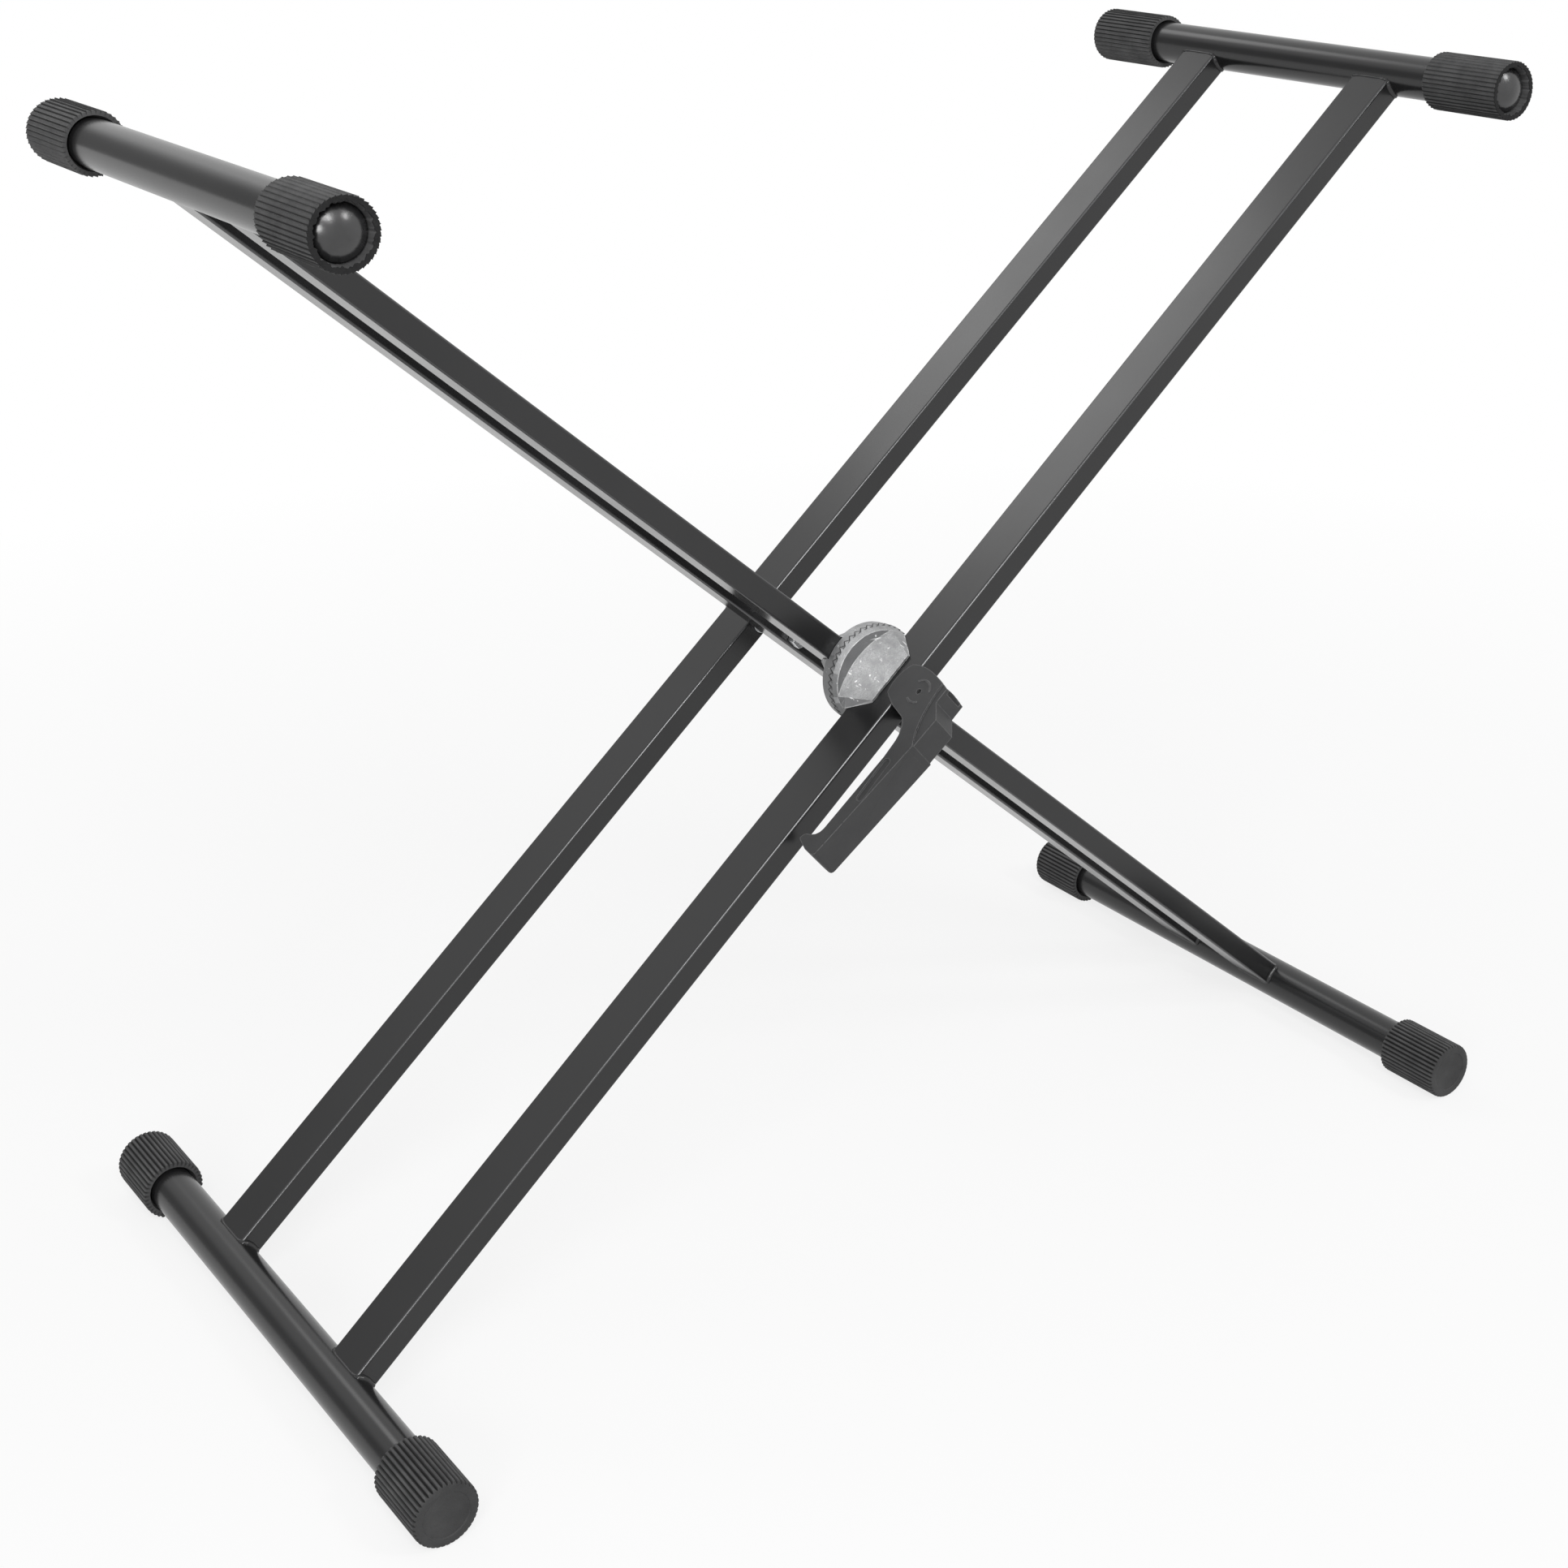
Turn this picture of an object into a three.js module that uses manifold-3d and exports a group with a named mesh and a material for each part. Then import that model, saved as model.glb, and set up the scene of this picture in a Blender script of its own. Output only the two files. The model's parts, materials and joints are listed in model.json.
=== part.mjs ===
// A folding, double-braced X keyboard stand: two welded tube frames that cross on one pivot axis. A toothed
// face clutch, drawn shut by a cam lever at the front, sets the angle between them. Millimetres, +Z up, the
// pivot axis along Y, the front at -Y, and the floor at Z = 0.
import * as THREE from "three";
import { mergeVertices } from "three/addons/utils/BufferGeometryUtils.js";
import Module from "manifold-3d";

const wasm = await Module();
wasm.setup();

// ---------- driving dimensions ----------
const DEG = Math.PI / 180;
const SEAT_GAP = 0.3; // between two pieces that touch

// legs: rectangular tube, its wide side along the pivot axis
const LEG_WIDTH = 30;
const LEG_THICKNESS = 15;
const LEG_WALL = 1.5;
const LEG_CORNER = 2;
const OUTER_UPPER = 504; // pivot to the centre of the top bar
const OUTER_LOWER = 496; // pivot to the centre of the bottom bar
const INNER_LOWER = 490;
const INNER_UPPER = (OUTER_UPPER * INNER_LOWER) / OUTER_LOWER; // so both top bars stand level
const OUTER_SPACING = 156.4; // between the centre lines of a frame's two legs
const REAR_GAP = 6.6; // between the two rear legs; it sets how far apart the inner frame's legs are
const CROSSING = 81.62 * DEG; // between the two frames' legs, as the stand is set up

// cross bars, and the rubber on their ends
const BAR_RADIUS = 13.45;
const BAR_WALL = 1.6;
const BAR_SIDES = 32;
const TOP_REACH = 181.5; // from the middle of the stand to the end of a top sleeve
const BOTTOM_REACH = 206; // to the end of a foot cap
const SLEEVE_LENGTH = 57;
const SLEEVE_RADIUS = 17.8;
const FOOT_LENGTH = 45;
const FOOT_RADIUS = 18.8;
const FOOT_END_WALL = 5;
const RUBBER_BORE = BAR_RADIUS + SEAT_GAP;
const RIB_COUNT = 40; // a multiple of 4, so that crests face straight up and down
const RIB_DEPTH = 0.9;
const RIB_CREST = 0.34; // half width of a crest, as a share of the pitch
const PLUG_RECESS = 5; // from a sleeve's end to the end of the tube inside it
const PLUG_SIDES = 20;

// face clutch: two castings, each a toothed disc with a saddle that straddles its leg
const CLUTCH_GAP = 16; // between the two front legs
const TEETH_OFFSET = 1.5; // the teeth's plane, to the rear of the gap's middle
const TOOTH_COUNT = 44;
const TOOTH_PITCH = (2 * Math.PI) / TOOTH_COUNT;
const TOOTH_HEIGHT = 2.6; // crest to root, at the rim
const DISC_RADIUS = 31.3; // at the teeth
const DISC_EDGE = 0.4;
const OUTER_RIM_DEPTH = 4.8; // from the teeth to the rim's back edge
const OUTER_RIM_RADIUS = 29; // at its back edge
const INNER_RIM_DEPTH = 8.7;
const INNER_RIM_RADIUS = 30.3;
const TOOTH_INNER_RADIUS = 17;
const SADDLE_REACH = 25.8; // from the teeth to the ends of a saddle's flanges
const SADDLE_CROWN = 20.7; // from the leg's middle plane to a flange's crown, at the rim
const SADDLE_SHOULDER = 13.7; // to the crown's two ends
const SADDLE_SHOULDER_HALF = 25.6;
const SADDLE_FOOT_HALF = 28.6; // half the saddle's length where it meets the leg's wide face
const SADDLE_TIP_HALF = 17;
const SADDLE_TIP = 1.5; // thickness of a flange at its tip
const SPRING_POCKET_RADIUS = 12;
const SPRING_POCKET_DEPTH = 2.4;
const SPRING_WIRE = 1.7;
const SPRING_TURNS = 2;

// draw bolt and cam lever
const BOLT_RADIUS = 4;
const BOLT_CLEARANCE = 0.5;
const PIN_RADIUS = 3;
const PIN_NEAR_END = 8.7; // from the lever's middle plane
const PIN_FAR_END = 9.6;
const PIN_STANDOFF = 14.8; // from the outer front leg's face to the lever's pin
const PIN_EYELET = 1.7; // the small hole in the near cheek, over the pin's end
const EYE_RADIUS = 7;
const EYE_HALF_WIDTH = 4.6;
const THRUST_PLATE = 1.2;
const THRUST_PLATE_LENGTH = 22;
const LEVER_SWING = 70 * DEG;
const CLUTCH_DRAW = 3; // how far the clutch opens when the lever is thrown over
const DRAW_NUT_FLAT = 13;
const DRAW_NUT_HEIGHT = 7;
const DRAW_WASHER_RADIUS = 7.3;
const LEVER_HALF_WIDTH = 10;
const CHEEK_INNER = LEG_THICKNESS / 2 + 0.6; // the cheeks straddle the leg
const HUB_RADIUS = 23.2;
const BODY_HALF_WIDTH = 9;
const RAMP_START = 1; // along the leg from the pin, down to where the hub's front starts to rise
const RAMP_END = 10.2;
const HUB_FRONT = 16.7; // from the pin to the hub's front
const RAMP_FRONT = 25.7; // from the pin to the top of the rise
const HANDLE_ROOT = 34; // along the leg from the pin to where the handle leaves the hub
const HANDLE_ROOT_FRONT = 24.4; // from the pin out to the handle's front
const HANDLE_ROOT_BACK = 10.8;
const HANDLE_REACH = 113.6; // from the pin to the tip
const HANDLE_TIP_FRONT = 16.6;
const HOOK_LENGTH = 16.6; // of the tip that curls towards the leg
const HOOK_NECK = 9.2; // from the pin out to the handle's back, beside the hook
const HOOK_HEIGHT = 11.8; // of the hook over the handle's back
const RECESS_LENGTH = 30;
const RECESS_MIDDLE = 58.5; // from the pin
const RECESS_HALF_WIDTH = 2.6;
const RECESS_DEPTH = 1;
const MARK_RADIUS = 7.7; // of the raised arcs round the pin's end
const MARK_WIDTH = 1;
const MARK_HEIGHT = 0.5;
const END_NOTCH = [7, 6.4]; // the notch between the cheeks' ends: its floor from the pin, its half width

// rear pivot
const WASHER = 1.6; // thickness
const REAR_WASHER_RADIUS = 8;
const REAR_BOLT_RADIUS = 3.2;
const REAR_NUT_FLAT = 11; // across flats
const REAR_NUT_HEIGHT = 6;
const REAR_HEAD_HEIGHT = 4.5;

// ---------- worked-out values ----------
const halfCrossing = Math.atan2(
  INNER_LOWER * Math.sin(CROSSING),
  OUTER_LOWER + INNER_LOWER * Math.cos(CROSSING),
);
const OUTER_ANGLE = halfCrossing; // of the outer legs to the floor: both bottom bars stand level
const INNER_ANGLE = CROSSING - halfCrossing;
const PIVOT_HEIGHT = OUTER_LOWER * Math.sin(OUTER_ANGLE) + FOOT_RADIUS;
const spreadRight = OUTER_UPPER * Math.cos(OUTER_ANGLE) + SLEEVE_RADIUS;
const spreadLeft = OUTER_LOWER * Math.cos(OUTER_ANGLE) + FOOT_RADIUS;
const PIVOT_X = (spreadLeft - spreadRight) / 2;

const outerFrontY = -OUTER_SPACING / 2;
const outerRearY = OUTER_SPACING / 2;
const innerFrontY = outerFrontY + LEG_WIDTH + CLUTCH_GAP;
const innerRearY = outerRearY - LEG_WIDTH - REAR_GAP;
const outerFrontFace = outerFrontY - LEG_WIDTH / 2;
const teethY = outerFrontY + LEG_WIDTH / 2 + CLUTCH_GAP / 2 + TEETH_OFFSET; // middle plane of the teeth
const pinY = outerFrontFace - PIN_STANDOFF;

// ---------- materials ----------
const paint = new THREE.MeshStandardMaterial({ color: 0x2b2b2d, roughness: 0.45, metalness: 0.3 });
const rubber = new THREE.MeshStandardMaterial({ color: 0x3b3b3c, roughness: 0.85, metalness: 0 });
const plugPlastic = new THREE.MeshStandardMaterial({ color: 0x303032, roughness: 0.3, metalness: 0 });
const leverPlastic = new THREE.MeshStandardMaterial({ color: 0x3a3a3c, roughness: 0.6, metalness: 0 });
const zinc = new THREE.MeshStandardMaterial({ color: 0xa3a4a4, roughness: 0.5, metalness: 0.9 });
const plated = new THREE.MeshStandardMaterial({ color: 0xc2c3c4, roughness: 0.3, metalness: 1 });

// ---------- solids ----------
function signedVolume(position, index) {
  const [a, b, c] = [new THREE.Vector3(), new THREE.Vector3(), new THREE.Vector3()];
  let volume = 0;
  for (let i = 0; i < index.length; i += 3) {
    a.fromBufferAttribute(position, index[i]);
    b.fromBufferAttribute(position, index[i + 1]);
    c.fromBufferAttribute(position, index[i + 2]);
    volume += a.dot(b.cross(c)) / 6;
  }
  return volume;
}

/** A geometry as one solid, with its shared points merged and its faces turned outwards. */
function solid(geometry) {
  const bare = geometry.clone();
  bare.deleteAttribute("normal");
  bare.deleteAttribute("uv");
  const merged = mergeVertices(bare, 1e-4);
  const corners = merged.index.array;
  const kept = [];
  for (let i = 0; i < corners.length; i += 3) {
    const [a, b, c] = [corners[i], corners[i + 1], corners[i + 2]];
    if (a !== b && b !== c && c !== a) kept.push(a, b, c);
  }
  const position = merged.getAttribute("position");
  if (signedVolume(position, kept) < 0) kept.reverse();
  const vertProperties = new Float32Array(position.array);
  return new wasm.Manifold(new wasm.Mesh({ numProp: 3, vertProperties, triVerts: new Uint32Array(kept) }));
}

function geometryOf(manifold) {
  const { vertProperties, triVerts } = manifold.getMesh();
  const geometry = new THREE.BufferGeometry();
  geometry.setAttribute("position", new THREE.BufferAttribute(new Float32Array(vertProperties), 3));
  geometry.setIndex(new THREE.BufferAttribute(new Uint32Array(triVerts), 1));
  geometry.computeVertexNormals();
  return geometry;
}

function piece(name, manifold, material) {
  const mesh = new THREE.Mesh(geometryOf(manifold), material);
  mesh.name = name;
  return mesh;
}

/** A cylinder along Y, from y0 to y1. */
function rod(radius, y0, y1, sides = 32) {
  return solid(new THREE.CylinderGeometry(radius, radius, y1 - y0, sides).translate(0, (y0 + y1) / 2, 0));
}

function box(x0, x1, y0, y1, z0, z1) {
  const geometry = new THREE.BoxGeometry(x1 - x0, y1 - y0, z1 - z0);
  return solid(geometry.translate((x0 + x1) / 2, (y0 + y1) / 2, (z0 + z1) / 2));
}

/** A body turned about Y from a profile of [radius, y] points that starts and ends on the axis. */
function turned(profile, sides) {
  return solid(new THREE.LatheGeometry(profile.map(([r, y]) => new THREE.Vector2(r, y)), sides));
}

function roundedRectangle(width, height, corner) {
  const [x, y] = [width / 2, height / 2];
  const path = new THREE.Shape();
  path.moveTo(-x + corner, -y);
  path.lineTo(x - corner, -y);
  path.absarc(x - corner, -y + corner, corner, -Math.PI / 2, 0);
  path.lineTo(x, y - corner);
  path.absarc(x - corner, y - corner, corner, 0, Math.PI / 2);
  path.lineTo(-x + corner, y);
  path.absarc(-x + corner, y - corner, corner, Math.PI / 2, Math.PI);
  path.lineTo(-x, -y + corner);
  path.absarc(-x + corner, -y + corner, corner, Math.PI, 1.5 * Math.PI);
  return path;
}

/** Extrudes a shape, curveSegments steps to each arc, from depth z0 to z1. */
function extruded(shape, z0, z1, curveSegments = 3) {
  const settings = { depth: z1 - z0, bevelEnabled: false, curveSegments };
  return new THREE.ExtrudeGeometry(shape, settings).translate(0, 0, z0);
}

/** A hexagonal prism along Y with a round hole. */
function hexagon(acrossFlats, y0, y1, hole) {
  return rod(acrossFlats / Math.sqrt(3), y0, y1, 6).subtract(rod(hole, y0 - 1, y1 + 1, 24));
}

function washer(radius, hole, y0, y1) {
  return rod(radius, y0, y1, 32).subtract(rod(hole, y0 - 1, y1 + 1, 24));
}

// ---------- welded frames ----------
/** A leg in its frame's axes: along X through the pivot, hollow, coped to the bar at each end. */
function leg(y, upper, lower, boltRadius) {
  const section = roundedRectangle(LEG_THICKNESS, LEG_WIDTH, LEG_CORNER);
  const inside = [LEG_THICKNESS - 2 * LEG_WALL, LEG_WIDTH - 2 * LEG_WALL];
  section.holes.push(roundedRectangle(inside[0], inside[1], LEG_CORNER - LEG_WALL));
  let tube = solid(extruded(section, -lower, upper, 2).rotateY(Math.PI / 2));
  for (const x of [upper, -lower]) {
    const cope = rod(BAR_RADIUS + SEAT_GAP, -LEG_WIDTH, LEG_WIDTH, BAR_SIDES);
    tube = tube.subtract(cope.translate([x, 0, 0]));
  }
  tube = tube.subtract(rod(boltRadius + BOLT_CLEARANCE, -LEG_WIDTH, LEG_WIDTH, 24));
  return tube.translate([0, y, 0]);
}

function bar(halfLength) {
  const hollow = rod(BAR_RADIUS - BAR_WALL, -halfLength - 1, halfLength + 1, BAR_SIDES);
  return rod(BAR_RADIUS, -halfLength, halfLength, BAR_SIDES).subtract(hollow);
}

// ---------- ribbed rubber ----------
/** A ring of points round Y: three to a rib (crest edge, crest edge, groove), or one where it is plain. */
function ringPoints({ y, r, ribbed }) {
  const pitch = (2 * Math.PI) / RIB_COUNT;
  const points = [];
  const add = (radius, angle) => points.push(radius * Math.cos(angle), y, radius * Math.sin(angle));
  for (let k = 0; k < RIB_COUNT; k += 1) {
    const angle = k * pitch;
    if (ribbed) {
      const half = RIB_CREST * pitch;
      add(r / Math.cos(half), angle - half); // the crest is flat, at the full radius
      add(r / Math.cos(half), angle + half);
      add(r - RIB_DEPTH, angle + pitch / 2);
    } else {
      add(r, angle);
    }
  }
  return points;
}

/** Triangles between two rings that start at the given point numbers. */
function joinRings(from, to, fromRibbed, toRibbed) {
  const faces = [];
  const steps = { true: 3, false: 1 };
  const count = RIB_COUNT * steps[fromRibbed];
  if (fromRibbed === toRibbed) {
    for (let i = 0; i < count; i += 1) {
      const next = (i + 1) % count;
      faces.push(from + i, to + i, to + next, from + i, to + next, from + next);
    }
    return faces;
  }
  const [ribbed, plain] = fromRibbed ? [from, to] : [to, from];
  for (let k = 0; k < RIB_COUNT; k += 1) {
    const next = (k + 1) % RIB_COUNT;
    const [left, right, groove, nextLeft] = [3 * k, 3 * k + 1, 3 * k + 2, 3 * next];
    const fan = [
      [plain + k, ribbed + right, ribbed + left],
      [plain + k, ribbed + groove, ribbed + right],
      [plain + k, plain + next, ribbed + groove],
      [plain + next, ribbed + nextLeft, ribbed + groove],
    ];
    for (const [a, b, c] of fan) faces.push(...(fromRibbed ? [a, b, c] : [a, c, b]));
  }
  return faces;
}

/** A ribbed body round Y from its rings in order. It closes on itself, or runs from axis to axis. */
function ribbedBody(rings, closesOnItself) {
  const points = [];
  const starts = [];
  for (const ring of rings) {
    starts.push(points.length / 3);
    points.push(...(ring.r === 0 ? [0, ring.y, 0] : ringPoints(ring)));
  }
  const faces = [];
  const joins = closesOnItself ? rings.length : rings.length - 1;
  for (let i = 0; i < joins; i += 1) {
    const j = (i + 1) % rings.length;
    if (rings[i].r > 0 && rings[j].r > 0) {
      faces.push(...joinRings(starts[i], starts[j], !!rings[i].ribbed, !!rings[j].ribbed));
      continue;
    }
    const inward = rings[i].r === 0;
    const [hub, rim] = inward ? [starts[i], starts[j]] : [starts[j], starts[i]];
    for (let k = 0; k < RIB_COUNT; k += 1) {
      const next = (k + 1) % RIB_COUNT;
      faces.push(...(inward ? [hub, rim + k, rim + next] : [rim + k, hub, rim + next]));
    }
  }
  const geometry = new THREE.BufferGeometry();
  geometry.setAttribute("position", new THREE.BufferAttribute(new Float32Array(points), 3));
  geometry.setIndex(faces);
  return solid(geometry);
}

/** The open sleeve on a top bar's end. Its outer end is at y = 0, and it runs back towards -Y. */
function sleeve() {
  const mouth = RUBBER_BORE + 0.9;
  const rings = [
    { y: -SLEEVE_LENGTH, r: RUBBER_BORE },
    { y: -SLEEVE_LENGTH, r: SLEEVE_RADIUS, ribbed: true },
    { y: 0, r: SLEEVE_RADIUS, ribbed: true },
    { y: 0, r: mouth },
    { y: -PLUG_RECESS, r: RUBBER_BORE },
  ];
  return ribbedBody(rings, true);
}

/** The closed cap on a bottom bar's end, its outer face at y = 0. Its ribs fade into the rounded end. */
function footCap() {
  const ribEnd = 5;
  const recessRadius = 12.2;
  const rings = [
    { y: -FOOT_END_WALL, r: 0 },
    { y: -FOOT_END_WALL, r: RUBBER_BORE },
    { y: -FOOT_LENGTH, r: RUBBER_BORE },
    { y: -FOOT_LENGTH, r: FOOT_RADIUS, ribbed: true },
    { y: -ribEnd, r: FOOT_RADIUS, ribbed: true },
    { y: -ribEnd + 1.6, r: FOOT_RADIUS - 0.25 },
    { y: -1, r: FOOT_RADIUS - 1.7 },
    { y: 0, r: FOOT_RADIUS - 3.8 },
    { y: 0, r: recessRadius },
    { y: -0.6, r: recessRadius - 0.7 },
    { y: -0.6, r: 0 },
  ];
  return ribbedBody(rings, false);
}

/** The domed plug in a top bar's end. The tube ends at y = 0 and the dome swells towards +Y. */
function plug() {
  const stem = BAR_RADIUS - BAR_WALL - SEAT_GAP;
  const edge = BAR_RADIUS - 0.2;
  const dome = [85, 60, 35, 12].map((angle) => {
    return [edge * Math.sin(angle * DEG), 0.9 + 3.4 * Math.cos(angle * DEG)];
  });
  const profile = [[0, -11], [stem - 0.6, -11], [stem, -9.5], [stem, SEAT_GAP], [edge, SEAT_GAP]];
  return turned([...profile, ...dome, [0, 4.4]], PLUG_SIDES);
}

// ---------- face clutch ----------
/** The toothed disc, its teeth towards +Y about the plane y = 0. Its rim tapers to its back edge. */
function toothedDisc(rimDepth, rimRadius, phase) {
  const count = 2 * TOOTH_COUNT;
  const points = [];
  const faces = [];
  const addRing = (radius, yAt) => {
    for (let i = 0; i < count; i += 1) {
      const angle = (i * TOOTH_PITCH) / 2 + phase;
      points.push(radius * Math.cos(angle), yAt(i, radius), -radius * Math.sin(angle));
    }
  };
  const tooth = (i, radius) => {
    const swing = (TOOTH_HEIGHT / 2) * (radius / DISC_RADIUS);
    return (i % 2 === 0 ? swing : -swing) - SEAT_GAP / 2;
  };
  const land = -TOOTH_HEIGHT / 2 - SEAT_GAP;
  const back = -rimDepth;
  addRing(DISC_RADIUS, tooth);
  addRing(TOOTH_INNER_RADIUS, tooth);
  addRing(TOOTH_INNER_RADIUS - 0.8, () => land);
  const rimStart = DISC_RADIUS + ((rimRadius - DISC_RADIUS) * -land) / rimDepth; // below the teeth
  addRing(rimStart, () => land);
  addRing(rimRadius, () => back + DISC_EDGE);
  addRing(rimRadius - DISC_EDGE, () => back);
  points.push(0, land, 0, 0, back, 0);
  const ring = (a, b) => {
    for (let i = 0; i < count; i += 1) {
      const next = (i + 1) % count;
      faces.push(a * count + i, b * count + i, b * count + next);
      faces.push(a * count + i, b * count + next, a * count + next);
    }
  };
  ring(0, 1);
  ring(1, 2);
  ring(3, 0);
  ring(4, 3);
  ring(5, 4);
  const [landHub, backHub] = [6 * count, 6 * count + 1];
  for (let i = 0; i < count; i += 1) {
    const next = (i + 1) % count;
    faces.push(2 * count + i, landHub, 2 * count + next);
    faces.push(5 * count + i, 5 * count + next, backHub);
  }
  const geometry = new THREE.BufferGeometry();
  geometry.setAttribute("position", new THREE.BufferAttribute(new Float32Array(points), 3));
  geometry.setIndex(faces);
  return solid(geometry);
}

/** Half a saddle, above the leg's middle plane: crowned at the disc's rim, thin and straight at its tip. */
function halfSaddle(rimDepth, standoff) {
  const face = LEG_THICKNESS / 2 + SEAT_GAP;
  const steps = 10;
  const section = (y, half, shoulder, crown, footHalf) => {
    const points = [[-footHalf, y, 0], [-footHalf, y, face]];
    for (let i = 0; i <= steps; i += 1) {
      const share = (2 * i) / steps - 1;
      points.push([share * half, y, shoulder + (crown - shoulder) * (1 - share * share)]);
    }
    points.push([footHalf, y, face], [footHalf, y, 0]);
    return points;
  };
  const tipTop = face + SADDLE_TIP;
  const rootFoot = Math.min(SADDLE_FOOT_HALF, Math.sqrt(OUTER_RIM_RADIUS ** 2 - face ** 2));
  const root = [SADDLE_SHOULDER_HALF, SADDLE_SHOULDER, SADDLE_CROWN];
  const tip = [SADDLE_TIP_HALF, tipTop, tipTop];
  const sections = [
    section(-TOOTH_HEIGHT, ...root, rootFoot), // sunk into the disc
    section(-rimDepth, ...root, rootFoot),
  ];
  if (standoff > rimDepth) {
    const share = (standoff - rimDepth) / (SADDLE_REACH - rimDepth);
    const between = root.map((value, i) => value + share * (tip[i] - value));
    sections.push(section(-standoff, ...between, SADDLE_FOOT_HALF));
  }
  sections.push(section(-SADDLE_REACH, ...tip, SADDLE_TIP_HALF + SADDLE_TIP / 2));
  return loft(sections);
}

/** A closed body through sections that have the same number of points, each flat. */
function loft(sections) {
  const count = sections[0].length;
  const faces = [];
  for (let s = 0; s + 1 < sections.length; s += 1) {
    for (let i = 0; i < count; i += 1) {
      const next = (i + 1) % count;
      const [a, b] = [s * count, (s + 1) * count];
      faces.push(a + i, b + i, b + next, a + i, b + next, a + next);
    }
  }
  const last = (sections.length - 1) * count;
  for (let i = 1; i + 1 < count; i += 1) {
    faces.push(0, i, i + 1, last, last + i + 1, last + i);
  }
  const geometry = new THREE.BufferGeometry();
  const points = new Float32Array(sections.flat(2));
  geometry.setAttribute("position", new THREE.BufferAttribute(points, 3));
  geometry.setIndex(faces);
  return solid(geometry);
}

/** A casting, its leg along X at the given standoff from the teeth, on the -Y side. */
function clutchCasting(rimDepth, rimRadius, standoff) {
  // two castings face to face mesh when the legs cross half a pitch off a whole number of teeth
  const halfPitches = Math.floor(CROSSING / TOOTH_PITCH) + 0.5;
  const phase = (CROSSING - halfPitches * TOOTH_PITCH) / 2;
  const seat = standoff - SEAT_GAP;
  const saddle = halfSaddle(rimDepth, standoff);
  let casting = toothedDisc(rimDepth, rimRadius, phase).add(saddle).add(saddle.mirror([0, 0, 1]));
  const pocketFloor = -TOOTH_HEIGHT / 2 - SEAT_GAP - SPRING_POCKET_DEPTH;
  casting = casting.subtract(rod(SPRING_POCKET_RADIUS, pocketFloor, TOOTH_HEIGHT, 32));
  const [half, side] = [2 * DISC_RADIUS, LEG_THICKNESS / 2 + SEAT_GAP];
  casting = casting.subtract(box(-half, half, -seat - LEG_WIDTH, -seat, -side, side));
  return casting.subtract(rod(BOLT_RADIUS + BOLT_CLEARANCE, -LEG_WIDTH, TOOTH_HEIGHT, 24));
}

/** The spring that parts the castings: a helix round Y, at rest between the two pockets' floors. */
function clutchSpring() {
  const half = TOOTH_HEIGHT / 2 + SPRING_POCKET_DEPTH - SPRING_WIRE / 2 - 0.1;
  const radius = SPRING_POCKET_RADIUS - SPRING_WIRE / 2 - 1;
  const steps = SPRING_TURNS * 12;
  const path = [];
  for (let i = 0; i <= steps; i += 1) {
    const angle = (i / 12) * 2 * Math.PI;
    const y = -half + (2 * half * i) / steps;
    path.push(new THREE.Vector3(radius * Math.cos(angle), y, radius * Math.sin(angle)));
  }
  const section = new THREE.Shape();
  section.absarc(0, 0, SPRING_WIRE / 2, 0, 2 * Math.PI);
  const extrudePath = new THREE.CatmullRomCurve3(path);
  return solid(new THREE.ExtrudeGeometry(section, { steps, extrudePath, curveSegments: 3 }));
}

// ---------- draw bolt ----------
// The bolt, pin and lever share axes at the pin: X up along the outer leg, -Y out to the front, and the pin
// along Z, square to the leg's wide side.
/** A cylinder along Z at the pin. */
function crossRod(radius, z0, z1, sides = 32) {
  return rod(radius, z0, z1, sides).rotate([90, 0, 0]);
}

function drawBolt() {
  const threadEnd = innerFrontY + LEG_WIDTH / 2 + WASHER + DRAW_NUT_HEIGHT + 3 * SEAT_GAP + 2 - pinY;
  const eye = crossRod(EYE_RADIUS, -EYE_HALF_WIDTH, EYE_HALF_WIDTH);
  const shank = rod(BOLT_RADIUS, 0, threadEnd, 24);
  return eye.add(shank).subtract(crossRod(PIN_RADIUS + SEAT_GAP, -EYE_RADIUS, EYE_RADIUS, 24));
}

/** The pin is pressed in from the far cheek and stops short of the near one's outer face. */
function leverPin() {
  return crossRod(PIN_RADIUS, -PIN_FAR_END, PIN_NEAR_END, 24);
}

// ---------- cam lever ----------
/** The cam: as the lever turns by an angle, its flank keeps touching the thrust plate as the pin nears it. */
function camFlank(steps) {
  const closed = PIN_STANDOFF - 2 * SEAT_GAP - THRUST_PLATE;
  const slope = -CLUTCH_DRAW / LEVER_SWING;
  const points = [];
  for (let i = 0; i <= steps; i += 1) {
    const turn = (LEVER_SWING * i) / steps;
    const reach = closed + slope * turn;
    const x = reach * Math.sin(turn) + slope * Math.cos(turn);
    const y = reach * Math.cos(turn) - slope * Math.sin(turn);
    points.push(new THREE.Vector2(x, y));
  }
  return points;
}

/** The hub's middle: the cam towards the leg, a flat front, and the ramp that rises to the handle's root. */
function leverBody() {
  const flank = camFlank(10);
  const outline = new THREE.Shape();
  outline.moveTo(flank[0].x, flank[0].y);
  flank.slice(1).forEach((p) => outline.lineTo(p.x, p.y));
  outline.lineTo(12.6, -6);
  outline.lineTo(9, -HUB_FRONT);
  outline.lineTo(-RAMP_START, -HUB_FRONT);
  outline.lineTo(-RAMP_END, -RAMP_FRONT);
  outline.lineTo(-HANDLE_ROOT, -HANDLE_ROOT_FRONT);
  outline.lineTo(-HANDLE_ROOT, -HANDLE_ROOT_BACK);
  outline.quadraticCurveTo(-18, -6, -13, 7);
  return solid(extruded(outline, -BODY_HALF_WIDTH, BODY_HALF_WIDTH, 5));
}

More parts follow.
